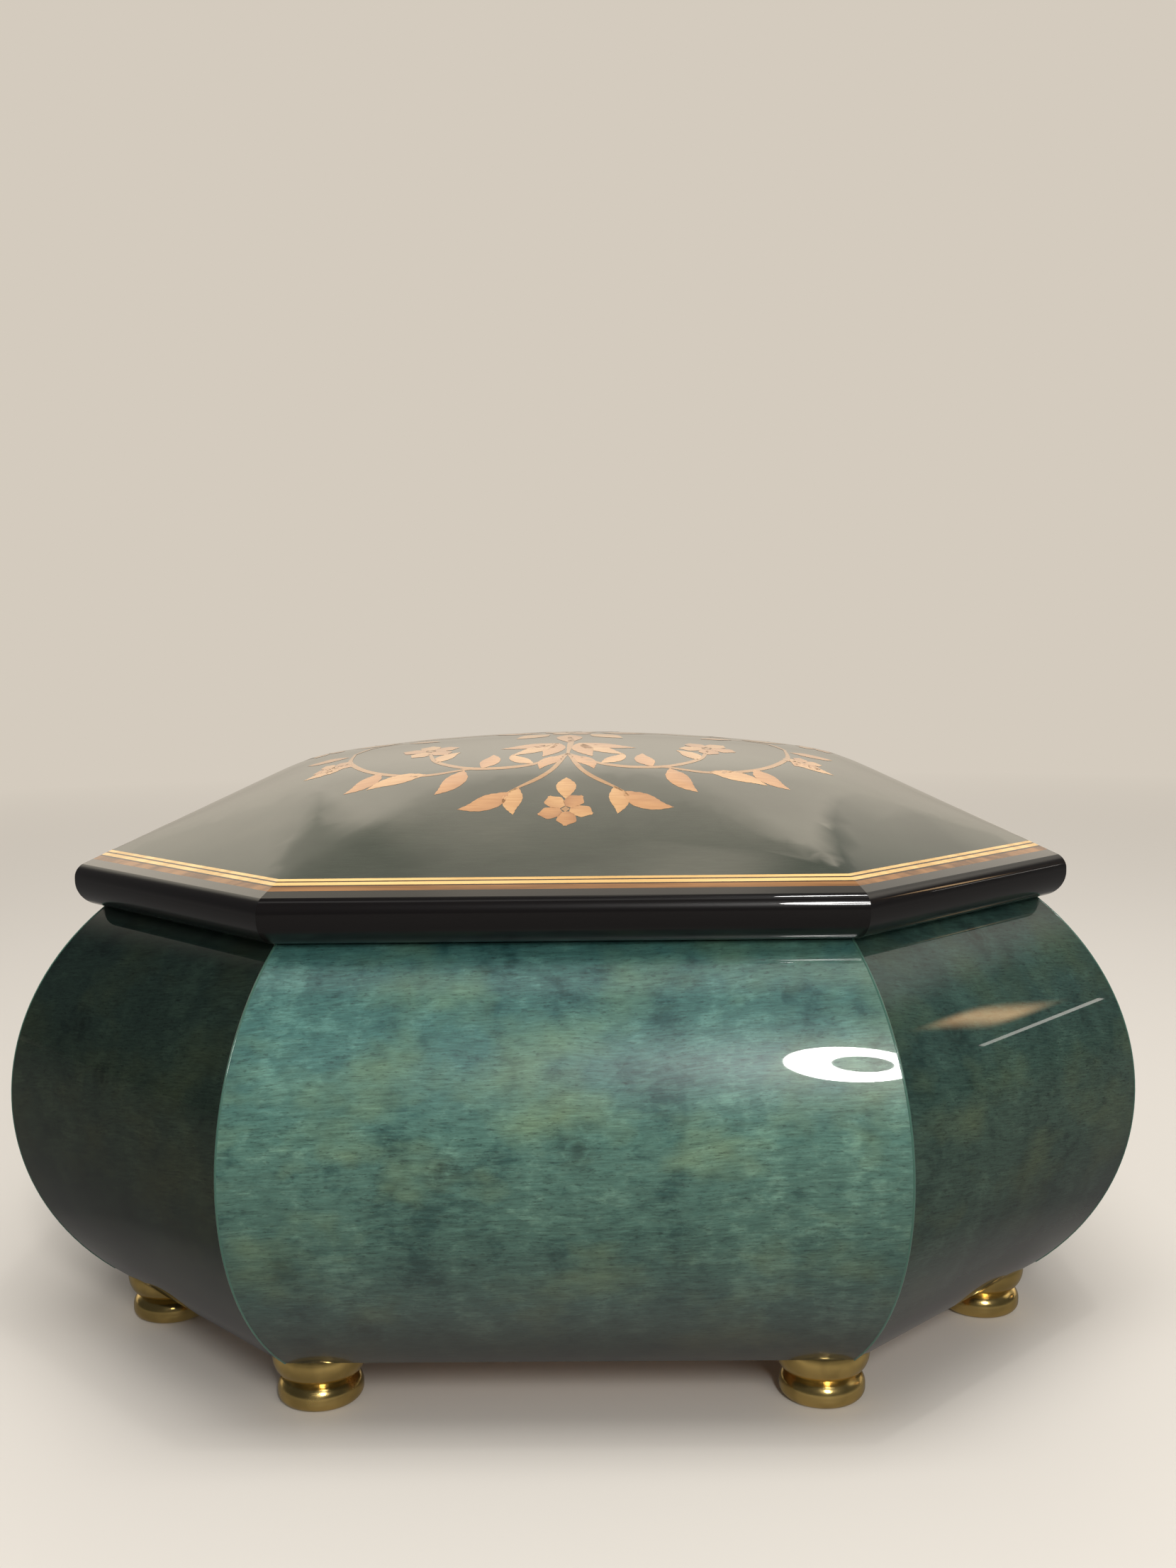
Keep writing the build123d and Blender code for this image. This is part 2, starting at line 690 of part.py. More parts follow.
def octagon_prism(outer_inset, inner_inset, floor):
    """Upright octagonal ring, or a full prism when inner_inset is None."""
    with BuildPart() as prism:
        with BuildSketch(Plane.XY.offset(floor)):
            Polygon(*outline(outer_inset), align=None)
            if inner_inset is not None:
                Polygon(*outline(inner_inset), align=None, mode=Mode.SUBTRACT)
        extrude(amount=dome_top - floor)
    return prism.part


def under_facets(drop):
    """The solid under the flat facets next to the lid's edge, let down by drop."""
    reach = inlay_end + moulding_width
    with BuildPart() as facets:
        with BuildSketch(Plane.XY.offset(dome_edge_height - drop)):
            Polygon(*outline(0), align=None)
        with BuildSketch(Plane.XY.offset(dome_edge_height - drop + facet_slope * reach)):
            Polygon(*outline(reach), align=None)
        loft(ruled=True)
    return facets.part


# Domed board of the lid, hollowed for the padded panel
groove_floor_height = dome_edge_height - inlay_depth
inlay_groove = octagon_prism(inlay_inset, inlay_end, groove_floor_height) - under_facets(inlay_depth)
pad_ceiling = lid_bottom + pad_reveal + pad_thickness + fit_gap
hollow_top = under_dome.moved(Location((0, 0, -lid_shell)))
hollow = octagon_prism(lid_frame_width + pad_ledge, None, lid_bottom) & hollow_top
with BuildPart() as lid_board:
    add(octagon_prism(moulding_width, None, lid_bottom))
    add(under_dome, mode=Mode.INTERSECT)
    add(inlay_groove, mode=Mode.SUBTRACT)
    add(hollow, mode=Mode.SUBTRACT)
    with BuildSketch(Plane.XY.offset(lid_bottom)):
        Polygon(*outline(lid_frame_width), align=None)
    extrude(amount=pad_ceiling - lid_bottom, mode=Mode.SUBTRACT)
    add(hinge_room(), mode=Mode.SUBTRACT)
    with BuildSketch(Plane.XY.offset(lid_bottom)):
        with Locations(*screw_points):
            Circle(hinge_screw_radius + screw_clearance)
    extrude(amount=lid_screw_length + fit_gap, mode=Mode.SUBTRACT)
lid_board.part.label = "lid_board"
export_step(lid_board.part, "parts/lid_board.step")

# Edge mouldings, rounded below and above, with their part of the groove for the stringing
for index, side in enumerate(sides):
    first_cut, last_cut = mitre_planes(index)
    with BuildPart() as moulding:
        with BuildSketch(side["plane"]):
            with BuildLine():
                Line((-moulding_width, lid_bottom), (-moulding_bottom_radius, lid_bottom))
                belly = moulding_bottom_radius * math.sqrt(0.5)
                ThreePointArc(
                    (-moulding_bottom_radius, lid_bottom),
                    (-moulding_bottom_radius + belly, edge_widest - belly),
                    (0, edge_widest),
                )
                Line((0, edge_widest), (0, land_top))
                half_sweep = meeting_sweep / 2
                ThreePointArc(
                    (0, land_top),
                    (
                        -moulding_top_radius * (1 - math.cos(half_sweep)),
                        land_top + moulding_top_radius * math.sin(half_sweep),
                    ),
                    (-meeting_inset, meeting_height),
                )
                inner_height = dome_edge_height + facet_slope * moulding_width
                Line((-meeting_inset, meeting_height), (-moulding_width, inner_height))
                Line((-moulding_width, inner_height), (-moulding_width, lid_bottom))
            make_face()
        extrude(amount=long_side, both=True)
        split(bisect_by=first_cut, keep=Keep.BOTTOM)
        split(bisect_by=last_cut, keep=Keep.BOTTOM)
        add(inlay_groove, mode=Mode.SUBTRACT)
        if side["name"] == "rear":
            add(hinge_room(), mode=Mode.SUBTRACT)
    moulding.part.label = side["name"] + "_moulding"
    export_step(moulding.part, "parts/" + moulding.part.label + ".step")

# Stringing let into the lid, from the moulding inwards
brown_end = inlay_inset + brown_band
first_dark_end = brown_end + dark_line
wide_end = first_dark_end + wide_line
second_dark_end = wide_end + dark_line
thin_end = second_dark_end + thin_line
strings = {
    "stringing_brown": [(inlay_inset, brown_end)],
    "stringing_dark": [(brown_end, first_dark_end), (wide_end, second_dark_end)],
    "stringing_light": [(first_dark_end, wide_end), (second_dark_end, thin_end)],
}
for string_name, rings in strings.items():
    with BuildPart() as stringing:
        for outer_inset, inner_inset in rings:
            add(octagon_prism(outer_inset, inner_inset, groove_floor_height))
        add(under_facets(0), mode=Mode.INTERSECT)
        add(under_facets(inlay_depth), mode=Mode.SUBTRACT)
    stringing.part.label = string_name
    export_step(stringing.part, "parts/" + string_name + ".step")

# Padded panel inside the lid, crowned downwards with drawn-in edges
with BuildPart() as lid_pad:
    with BuildSketch(Plane.XY.offset(lid_bottom + pad_reveal)):
        Polygon(*outline(lid_frame_width + pad_clearance), align=None)
    extrude(amount=pad_thickness)
    lower_edges = lid_pad.faces().sort_by(Axis.Z)[0].edges()
    fillet(lower_edges, radius=pad_round)
lid_pad.part.label = "lid_pad"
export_step(lid_pad.part, "parts/lid_pad.step")


def gear_outline(teeth, phase, centre):
    """Straight-flanked gear profile with a tooth centred at phase degrees."""
    pitch_radius = gear_module * teeth / 2
    slope = math.tan(math.radians(20))
    half_pitch = (math.pi * gear_module / 2 - tooth_backlash) / 2
    tip_radius = pitch_radius + gear_module * tooth_addendum
    root_radius = pitch_radius - 1.25 * gear_module
    tip_angle = (half_pitch - gear_module * tooth_addendum * slope) / tip_radius
    root_angle = (half_pitch + 1.25 * gear_module * slope) / root_radius
    corners = []
    for tooth in range(teeth):
        middle = math.radians(phase) + 2 * math.pi * tooth / teeth
        for radius, turn in (
            (root_radius, -root_angle),
            (tip_radius, -tip_angle),
            (tip_radius, tip_angle),
            (root_radius, root_angle),
        ):
            angle = middle + turn
            corners.append((centre[0] + radius * math.cos(angle), centre[1] + radius * math.sin(angle)))
    return corners


def across(y):
    """Upright plane at y, with x to the right and y up, facing the front."""
    return Plane(origin=(0, y, 0), x_dir=(1, 0, 0), z_dir=(0, -1, 0))


# Cast bedplate of the musical movement with its posts
with BuildPart() as bedplate:
    with BuildSketch(Plane.XY.offset(base_top)):
        with Locations(((bedplate_x[0] + bedplate_x[1]) / 2, (bedplate_y[0] + bedplate_y[1]) / 2)):
            RectangleRounded(bedplate_x[1] - bedplate_x[0], bedplate_y[1] - bedplate_y[0], 2)
    extrude(amount=bedplate_thickness)
    with BuildSketch(Plane.XY.offset(bed_top)):
        with Locations((movement_x, barrel_y)):
            Circle(2 * winder_radius)
    extrude(amount=barrel_lift - running_gap)
    with BuildSketch(Plane.XY.offset(bed_top)):
        with Locations((comb_tail_x - comb_bed_width / 2, cylinder_middle_y)):
            Rectangle(comb_bed_width, cylinder_length)
    extrude(amount=comb_bottom - bed_top)
    with BuildSketch(Plane.XY.offset(bed_top)):
        for post_y in (near_post_y, far_post_y):
            with Locations((movement_x, post_y)):
                Rectangle(bracket_width, bracket_thickness, align=(Align.CENTER, Align.MIN))
    extrude(amount=cylinder_height + bracket_width / 2 - bed_top)
    with BuildSketch(Plane.XY.offset(bed_top)):
        with Locations((lever_post_x, lever_pivot_y)):
            Rectangle(bracket_thickness, lever_post_width, align=(Align.MIN, Align.CENTER))
    extrude(amount=lever_pivot_height + 2 - bed_top)
    with BuildSketch(Plane.YZ.offset(lever_post_x)):
        with Locations((lever_pivot_y, lever_pivot_height)):
            Circle(arbor_radius)
    extrude(amount=-(stop_gap + stop_thickness + stop_gap))
    with BuildSketch(across(near_post_y)):
        with Locations((movement_x, cylinder_height)):
            Circle(arbor_radius + running_gap)
    extrude(amount=-(far_post_y + bracket_thickness - near_post_y), mode=Mode.SUBTRACT)
    with BuildSketch(Plane.XY.offset(base_top)):
        with Locations((movement_x, barrel_y)):
            Circle(winder_radius + running_gap)
        with Locations(*movement_screw_points):
            Circle(screw_radius + screw_clearance)
    extrude(amount=bedplate_thickness + barrel_lift, mode=Mode.SUBTRACT)
    with BuildSketch(Plane.XY.offset(comb_bottom)):
        with Locations(*comb_screw_points):
            Circle(screw_radius + screw_clearance)
    extrude(amount=-comb_screw_length, mode=Mode.SUBTRACT)
bedplate.part.label = "bedplate"
export_step(bedplate.part, "parts/bedplate.step")

with BuildPart() as movement_screws:
    with BuildSketch(Plane.XY.offset(foot_height)):
        with Locations(*movement_screw_points):
            Circle(screw_radius)
    extrude(amount=base_thickness + bedplate_thickness)
    with BuildSketch(Plane.XY.offset(foot_height)):
        with Locations(*movement_screw_points):
            Circle(screw_head_radius)
    extrude(amount=-1.0)
movement_screws.part.label = "movement_screws"
export_step(movement_screws.part, "parts/movement_screws.step")

# Spring barrel with its crown of teeth, cap, mainspring and winding arbor
with BuildPart() as spring_barrel:
    with BuildSketch(Plane.XY.offset(barrel_bottom)):
        with Locations((movement_x, barrel_y)):
            Circle(barrel_radius)
    extrude(amount=barrel_height)
    with BuildSketch(Plane.XY.offset(barrel_bottom + barrel_skin)):
        with Locations((movement_x, barrel_y)):
            Circle(barrel_radius - barrel_wall)
    extrude(amount=barrel_height, mode=Mode.SUBTRACT)
    with BuildSketch(Plane.XY.offset(barrel_bottom)):
        with Locations((movement_x, barrel_y)):
            Circle(winder_radius + running_gap)
    extrude(amount=barrel_skin, mode=Mode.SUBTRACT)
    with BuildSketch(Plane.XY.offset(barrel_top)):
        with Locations((movement_x, barrel_y)):
            first_tooth = 90 + 180 / crown_teeth
            with PolarLocations(crown_pitch_radius, crown_teeth, start_angle=first_tooth):
                Rectangle(crown_face, crown_tooth_base)
    extrude(amount=crown_tooth_height, taper=20)
spring_barrel.part.label = "spring_barrel"
export_step(spring_barrel.part, "parts/spring_barrel.step")

with BuildPart() as barrel_cap:
    with BuildSketch(Plane.XY.offset(barrel_top - cap_thickness)):
        with Locations((movement_x, barrel_y)):
            Circle(barrel_radius - barrel_wall - screw_clearance)
            Circle(winder_radius + running_gap, mode=Mode.SUBTRACT)
    extrude(amount=cap_thickness)
barrel_cap.part.label = "barrel_cap"
export_step(barrel_cap.part, "parts/barrel_cap.step")

spring_inner = winder_radius + 1.0
spring_outer = barrel_radius - barrel_wall - 0.4
spring_steps = 12 * spring_turns


def spring_point(step, side):
    """Point on one face of the coiled mainspring."""
    angle = 2 * math.pi * step / 12
    radius = spring_inner + (spring_outer - spring_inner - spring_thickness) * step / spring_steps
    radius += side * spring_thickness
    return (movement_x + radius * math.cos(angle), barrel_y + radius * math.sin(angle))


with BuildPart() as mainspring:
    with BuildSketch(Plane.XY.offset(barrel_bottom + barrel_skin + 0.5)):
        with BuildLine():
            inner_face = [spring_point(step, 0) for step in range(spring_steps + 1)]
            outer_face = [spring_point(step, 1) for step in range(spring_steps + 1)]
            Spline(*inner_face)
            Spline(*outer_face)
            Line(inner_face[0], outer_face[0])
            Line(inner_face[-1], outer_face[-1])
        make_face()
    extrude(amount=barrel_height - barrel_skin - cap_thickness - 1.0)
mainspring.part.label = "mainspring"
export_step(mainspring.part, "parts/mainspring.step")

with BuildPart() as winding_arbor:
    with BuildSketch(Plane.XY.offset(key_clearance + 1)):
        with Locations((movement_x, barrel_y)):
            Circle(winder_radius)
    extrude(amount=barrel_top + 0.5 - key_clearance - 1)
winding_arbor.part.label = "winding_arbor"
export_step(winding_arbor.part, "parts/winding_arbor.step")

# Winding key under the base
with BuildPart() as winding_key:
    with BuildSketch(Plane.XY.offset(key_clearance)):
        with Locations((movement_x, barrel_y)):
            Circle(key_hub_radius)
    extrude(amount=foot_height - 1 - key_clearance)
    with BuildSketch(Plane.XZ.offset(-barrel_y + key_thickness / 2)):
        wing_height = foot_height - 3.5 - key_clearance
        with Locations((movement_x, key_clearance + wing_height / 2)):
            RectangleRounded(key_span, wing_height, wing_height * 0.45)
        for shift in (-1, 1):
            with Locations((movement_x + shift * key_span * 0.33, key_clearance + wing_height / 2)):
                Circle(wing_height * 0.22, mode=Mode.SUBTRACT)
    extrude(amount=-key_thickness)
    with BuildSketch(Plane.XY.offset(key_clearance + 1)):
        with Locations((movement_x, barrel_y)):
            Circle(winder_radius + screw_clearance)
    extrude(amount=foot_height, mode=Mode.SUBTRACT)
winding_key.part.label = "winding_key"
export_step(winding_key.part, "parts/winding_key.step")

# Pinned cylinder and its arbor with pinion and great wheel
with BuildPart() as music_cylinder:
    with BuildSketch(across(cylinder_start_y)):
        with Locations((movement_x, cylinder_height)):
            Circle(cylinder_radius)
    extrude(amount=-cylinder_length)
    with BuildSketch(across(cylinder_start_y + cylinder_wall)):
        with Locations((movement_x, cylinder_height)):
            Circle(cylinder_radius - cylinder_wall)
            Circle(2 * arbor_radius, mode=Mode.SUBTRACT)
    extrude(amount=-(cylinder_length - 2 * cylinder_wall), mode=Mode.SUBTRACT)
    row_pitch = cylinder_length / tune_rows
    for row in range(tune_rows):
        for number in range(pins_per_row):
            pin_angle = 137.5 * row + 360 / pins_per_row * number + 11 * (row % 3)
            pin_y_place = cylinder_start_y + row_pitch * (row + 0.5)
            pin_base = Plane(
                origin=(movement_x, pin_y_place, cylinder_height),
                x_dir=(0, 1, 0),
                z_dir=(math.cos(math.radians(pin_angle)), 0, math.sin(math.radians(pin_angle))),
            )
            with BuildSketch(pin_base.offset(cylinder_radius - 0.3)):
                Circle(tune_pin_radius)
    extrude(amount=0.3 + tune_pin_height)
    with BuildSketch(across(cylinder_start_y)):
        with Locations((movement_x, cylinder_height)):
            Circle(arbor_radius + screw_clearance)
    extrude(amount=-cylinder_length, mode=Mode.SUBTRACT)
music_cylinder.part.label = "music_cylinder"
export_step(music_cylinder.part, "parts/music_cylinder.step")

with BuildPart() as cylinder_arbor:
    with BuildSketch(across(pinion_middle_y - gear_face)):
        with Locations((movement_x, cylinder_height)):
            Circle(arbor_radius)
    extrude(amount=-(far_post_y + bracket_thickness + 0.5 - pinion_middle_y + gear_face))
    with BuildSketch(across(pinion_middle_y - gear_face / 2)):
        Polygon(*gear_outline(pinion_teeth, -90, (movement_x, cylinder_height)), align=None)
    extrude(amount=-gear_face)
    with BuildSketch(across(great_wheel_y)):
        Polygon(*gear_outline(great_teeth, -135, (movement_x, cylinder_height)), align=None)
    extrude(amount=-gear_face)
cylinder_arbor.part.label = "cylinder_arbor"
export_step(cylinder_arbor.part, "parts/cylinder_arbor.step")

# Steel comb and its screws
with BuildPart() as comb:
    with BuildSketch(Plane.XY.offset(comb_bottom)):
        with Locations((comb_tip_x, cylinder_middle_y)):
            Rectangle(comb_reach, cylinder_length, align=(Align.MIN, Align.CENTER))
        for slot in range(1, tune_rows):
            with Locations((comb_tip_x, cylinder_start_y + row_pitch * slot)):
                slot_length = comb_reach - comb_bed_width - 2.5 * slot / tune_rows
                Rectangle(slot_length, comb_tooth_gap, align=(Align.MIN, Align.CENTER), mode=Mode.SUBTRACT)
        with Locations(*comb_screw_points):
            Circle(screw_radius + screw_clearance, mode=Mode.SUBTRACT)
    extrude(amount=comb_thickness)
comb.part.label = "comb"
export_step(comb.part, "parts/comb.step")

with BuildPart() as comb_screws:
    with BuildSketch(Plane.XY.offset(comb_bottom + comb_thickness)):
        with Locations(*comb_screw_points):
            Circle(screw_radius)
    extrude(amount=-(comb_thickness + comb_screw_length - fit_gap))
    with BuildSketch(Plane.XY.offset(comb_bottom + comb_thickness)):
        with Locations(*comb_screw_points):
            Circle(screw_head_radius)
    extrude(amount=1.0)
comb_screws.part.label = "comb_screws"
export_step(comb_screws.part, "parts/comb_screws.step")

# Speed governor: frame, second wheel and worm with its fan
with BuildPart() as governor_frame:
    frame_width = frame_right_x - frame_left_x
    with BuildSketch(Plane.XY.offset(bed_top)):
        with Locations((frame_left_x, far_post_y)):
            Rectangle(frame_width, frame_length, align=(Align.MIN, Align.MIN))
    extrude(amount=frame_top - bed_top)
    with BuildSketch(Plane.XY.offset(bed_top + plate_thickness)):
        with Locations((frame_left_x, far_post_y + plate_thickness)):
            Rectangle(frame_width, frame_length - 2 * plate_thickness, align=(Align.MIN, Align.MIN))
    extrude(amount=frame_top - bed_top - 2 * plate_thickness, mode=Mode.SUBTRACT)
    with BuildSketch(across(far_post_y)):
        with Locations((second_x, second_height)):
            Circle(fine_arbor + running_gap)
    extrude(amount=-frame_length, mode=Mode.SUBTRACT)
    with BuildSketch(Plane.XY.offset(bed_top + plate_thickness / 2)):
        with Locations((worm_x, worm_y)):
            Circle(fine_arbor + running_gap)
    extrude(amount=frame_top - bed_top, mode=Mode.SUBTRACT)
governor_frame.part.label = "governor_frame"
export_step(governor_frame.part, "parts/governor_frame.step")

with BuildPart() as second_wheel:
    with BuildSketch(across(great_wheel_y - 0.3)):
        with Locations((second_x, second_height)):
            Circle(fine_arbor)
    extrude(amount=-(far_post_y + frame_length - great_wheel_y + 0.3))
    second_gap = 45 + 180 / second_pinion_teeth
    with BuildSketch(across(great_wheel_y)):
        Polygon(*gear_outline(second_pinion_teeth, second_gap, (second_x, second_height)), align=None)
    extrude(amount=-gear_face)
    with BuildSketch(across(worm_y - gear_face / 2)):
        Polygon(*gear_outline(worm_wheel_teeth, 180, (second_x, second_height)), align=None)
    extrude(amount=-gear_face)
second_wheel.part.label = "second_wheel"
export_step(second_wheel.part, "parts/second_wheel.step")

worm_pitch = math.pi * gear_module
worm_length = worm_pitch * worm_turns
thread_start = second_height - worm_length / 2 - worm_pitch / 2
if worm_turns % 2 == 1:
    thread_start = second_height - worm_length / 2
with BuildPart() as worm_fan:
    with BuildSketch(Plane.XY.offset(bed_top + plate_thickness / 2 + fit_gap)):
        with Locations((worm_x, worm_y)):
            Circle(fine_arbor)
    extrude(amount=fan_base + fan_height + 0.5 - bed_top - plate_thickness / 2 - fit_gap)
    with BuildSketch(Plane.XY.offset(thread_start - 0.8)):
        with Locations((worm_x, worm_y)):
            Circle(worm_core_radius)
    extrude(amount=worm_length + 1.6)
    with BuildSketch(Plane.XY.offset(fan_base)):
        with Locations((worm_x, worm_y)):
            Circle(fine_arbor * 2)
            Rectangle(fan_blade, 2 * fan_reach)
    extrude(amount=fan_height)
    with BuildPart(mode=Mode.PRIVATE) as thread:
        thread_plane = Plane(origin=(worm_core_radius - 0.1, 0, 0), x_dir=(1, 0, 0), z_dir=(0, 1, 0))
        with BuildLine():
            Helix(pitch=worm_pitch, height=worm_length, radius=worm_core_radius - 0.1)
        with BuildSketch(thread_plane):
            Polygon(*worm_profile, align=None)
        sweep(is_frenet=True)
    add(thread.part.moved(Location((worm_x, worm_y, thread_start))))
worm_fan.part.label = "worm_fan"
export_step(worm_fan.part, "parts/worm_fan.step")

# Stop lever, and the rod that the lid presses on
with BuildPart() as stop_lever:
    with BuildSketch(Plane.YZ.offset(stop_lever_x - stop_thickness / 2)):
        with Locations((lever_pivot_y, lever_pivot_height)):
            Circle(2 * arbor_radius)
        with Locations((stop_rod_y - 1.5, lever_pivot_height)):
            lever_span = worm_y + 1 - stop_rod_y + 1.5
            Rectangle(lever_span, 2 * arbor_radius, align=(Align.MIN, Align.CENTER))
        with Locations((worm_y, lever_pivot_height)):
            Rectangle(2, fan_base - stop_gap - lever_pivot_height, align=(Align.CENTER, Align.MIN))
        with Locations((lever_pivot_y, lever_pivot_height)):
            Circle(arbor_radius + running_gap, mode=Mode.SUBTRACT)
    extrude(amount=stop_thickness)
    with BuildSketch(Plane.XY.offset(lever_pivot_height + arbor_radius - 1)):
        with Locations((stop_lever_x + stop_thickness / 2, stop_rod_y)):
            Rectangle(tail_reach, 3, align=(Align.MAX, Align.CENTER))
    extrude(amount=1)
stop_lever.part.label = "stop_lever"
export_step(stop_lever.part, "parts/stop_lever.step")

with BuildPart() as stop_rod:
    with BuildSketch(Plane.XY.offset(lever_pivot_height + arbor_radius + stop_gap)):
        with Locations((stop_rod_x, stop_rod_y)):
            Circle(stop_rod_radius)
    extrude(amount=lid_bottom - stop_gap - lever_pivot_height - arbor_radius - stop_gap)
    with BuildSketch(Plane.XY.offset(lid_bottom - stop_gap)):
        with Locations((stop_rod_x, stop_rod_y)):
            Circle(stop_rod_head)
    extrude(amount=-2)
stop_rod.part.label = "stop_rod"
export_step(stop_rod.part, "parts/stop_rod.step")
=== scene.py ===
import math

import bmesh
import bpy
from mathutils import Matrix, Vector
from mathutils.bvhtree import BVHTree


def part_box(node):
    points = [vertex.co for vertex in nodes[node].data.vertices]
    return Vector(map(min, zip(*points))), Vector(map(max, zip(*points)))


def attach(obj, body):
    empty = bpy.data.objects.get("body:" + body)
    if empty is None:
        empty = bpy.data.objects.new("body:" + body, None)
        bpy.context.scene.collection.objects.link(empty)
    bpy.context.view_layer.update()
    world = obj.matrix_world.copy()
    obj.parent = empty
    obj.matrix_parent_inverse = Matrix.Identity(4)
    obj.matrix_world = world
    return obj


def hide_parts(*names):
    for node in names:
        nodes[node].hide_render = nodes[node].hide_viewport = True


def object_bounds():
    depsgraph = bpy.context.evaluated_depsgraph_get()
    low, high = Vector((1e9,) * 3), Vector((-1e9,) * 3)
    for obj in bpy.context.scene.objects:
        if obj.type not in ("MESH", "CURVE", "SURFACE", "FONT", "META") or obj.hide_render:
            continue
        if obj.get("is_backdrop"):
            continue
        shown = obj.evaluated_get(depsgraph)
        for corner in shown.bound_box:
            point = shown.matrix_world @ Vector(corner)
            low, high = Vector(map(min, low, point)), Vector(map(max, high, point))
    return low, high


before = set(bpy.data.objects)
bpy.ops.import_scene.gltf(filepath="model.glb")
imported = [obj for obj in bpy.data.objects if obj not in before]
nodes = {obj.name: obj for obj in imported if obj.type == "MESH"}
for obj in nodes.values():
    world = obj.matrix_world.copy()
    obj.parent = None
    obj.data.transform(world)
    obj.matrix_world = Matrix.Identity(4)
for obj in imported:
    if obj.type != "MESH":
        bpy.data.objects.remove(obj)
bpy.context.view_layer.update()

# Lengths are in metres, but the marquetry is drawn in millimetres
# Sizes of the solids that the pieces made here follow
HALF_WIDTH = 0.118
HALF_DEPTH = 0.0955
CORNER_CUT = 0.0555
TAN_MITRE = math.tan(math.radians(22.5))
WALL_BULGE = 0.0151
WALL_RADIUS = 0.0588
WALL_CENTRE = 0.0574
FOOT_HEIGHT = 0.013
WALL_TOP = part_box("front_wall")[1].z


def outline(inset):
    """Corners of the lid's octagon, moved inwards by inset."""
    x_front = HALF_WIDTH - CORNER_CUT - inset * TAN_MITRE
    y_front = HALF_DEPTH - inset
    x_side = HALF_WIDTH - inset
    y_side = HALF_DEPTH - CORNER_CUT - inset * TAN_MITRE
    quarter = [(x_side, y_side), (x_front, y_front)]
    right = [(x, -y) for x, y in reversed(quarter)] + quarter
    return right + [(-x, -y) for x, y in right]


def wall_offset(height):
    """How far the wall's outer face stands outside the lid's edge."""
    return WALL_BULGE - WALL_RADIUS + math.sqrt(WALL_RADIUS**2 - (height - WALL_CENTRE) ** 2)


def rgb(red, green, blue):
    """A colour given as 0 to 255 screen values, as linear light."""
    linear = []
    for value in (red, green, blue):
        v = value / 255
        linear.append(v / 12.92 if v <= 0.04045 else ((v + 0.055) / 1.055) ** 2.4)
    return (*linear, 1.0)


class Tree:
    """Short way to build the nodes of a material or of the world."""

    def __init__(self, node_tree):
        self.nodes = node_tree.nodes
        self.links = node_tree.links

    def add(self, kind, **settings):
        node = self.nodes.new(kind)
        for key, value in settings.items():
            setattr(node, key, value)
        return node

    def put(self, socket, value):
        """Gives a socket a link or a constant."""
        if isinstance(value, bpy.types.NodeSocket):
            self.links.new(value, socket)
        else:
            socket.default_value = value

    def coordinates(self):
        return self.add("ShaderNodeTexCoord").outputs["Object"]

    def split(self, vector):
        """Outputs X, Y and Z of a vector."""
        node = self.add("ShaderNodeSeparateXYZ")
        self.put(node.inputs[0], vector)
        return node.outputs

    def mapped(self, vector, turn=(0, 0, 0), scale=(1, 1, 1), shift=(0, 0, 0)):
        node = self.add("ShaderNodeMapping")
        self.put(node.inputs["Vector"], vector)
        self.put(node.inputs["Rotation"], turn)
        self.put(node.inputs["Scale"], scale)
        self.put(node.inputs["Location"], shift)
        return node.outputs["Vector"]

    def nudged(self, vector, amount, reach):
        """A vector moved by amount times reach."""
        node = self.add("ShaderNodeVectorMath", operation="MULTIPLY_ADD")
        self.put(node.inputs[0], amount)
        self.put(node.inputs[1], reach)
        self.put(node.inputs[2], vector)
        return node.outputs[0]

    def noise(self, vector, scale, detail, rough, warp=0.0):
        node = self.add("ShaderNodeTexNoise")
        self.put(node.inputs["Vector"], vector)
        self.put(node.inputs["Scale"], scale)
        self.put(node.inputs["Detail"], detail)
        self.put(node.inputs["Roughness"], rough)
        self.put(node.inputs["Distortion"], warp)
        return node.outputs["Fac"]

    def math(self, kind, *values):
        node = self.add("ShaderNodeMath", operation=kind)
        for socket, value in zip(node.inputs, values):
            self.put(socket, value)
        return node.outputs[0]

    def weighted(self, *parts):
        """Sum of values, each times its weight."""
        total = None
        for value, weight in parts:
            share = self.math("MULTIPLY", value, weight)
            total = share if total is None else self.math("ADD", total, share)
        return total

    def ramp(self, value, stops, smooth=True):
        node = self.add("ShaderNodeValToRGB")
        node.color_ramp.interpolation = "EASE" if smooth else "LINEAR"
        elements = node.color_ramp.elements
        while len(elements) < len(stops):
            elements.new(0.5)
        for element, (place, colour) in zip(elements, stops):
            element.position = place
            element.color = colour
        self.put(node.inputs["Fac"], value)
        return node.outputs["Color"]

    def grey(self, value, low, high, dark=0.0, light=1.0, smooth=False):
        """Maps value from low..high to dark..light, held at the ends."""
        node = self.add("ShaderNodeMapRange")
        node.interpolation_type = "SMOOTHSTEP" if smooth else "LINEAR"
        self.put(node.inputs["Value"], value)
        self.put(node.inputs["From Min"], low)
        self.put(node.inputs["From Max"], high)
        self.put(node.inputs["To Min"], dark)
        self.put(node.inputs["To Max"], light)
        return node.outputs["Result"]

    def mix(self, factor, first, second, blend="MIX"):
        node = self.add("ShaderNodeMix", data_type="RGBA", blend_type=blend)
        self.put(node.inputs[0], factor)
        self.put(node.inputs[6], first)
        self.put(node.inputs[7], second)
        return node.outputs[2]

    def tinted(self, colour, tint, share=1.0):
        return self.mix(share, colour, tint, "MULTIPLY")

    def blend(self, factor, first, second):
        """Mix of two shaders."""
        node = self.add("ShaderNodeMixShader")
        for socket, value in zip(node.inputs, (factor, first, second)):
            self.put(socket, value)
        return node.outputs[0]


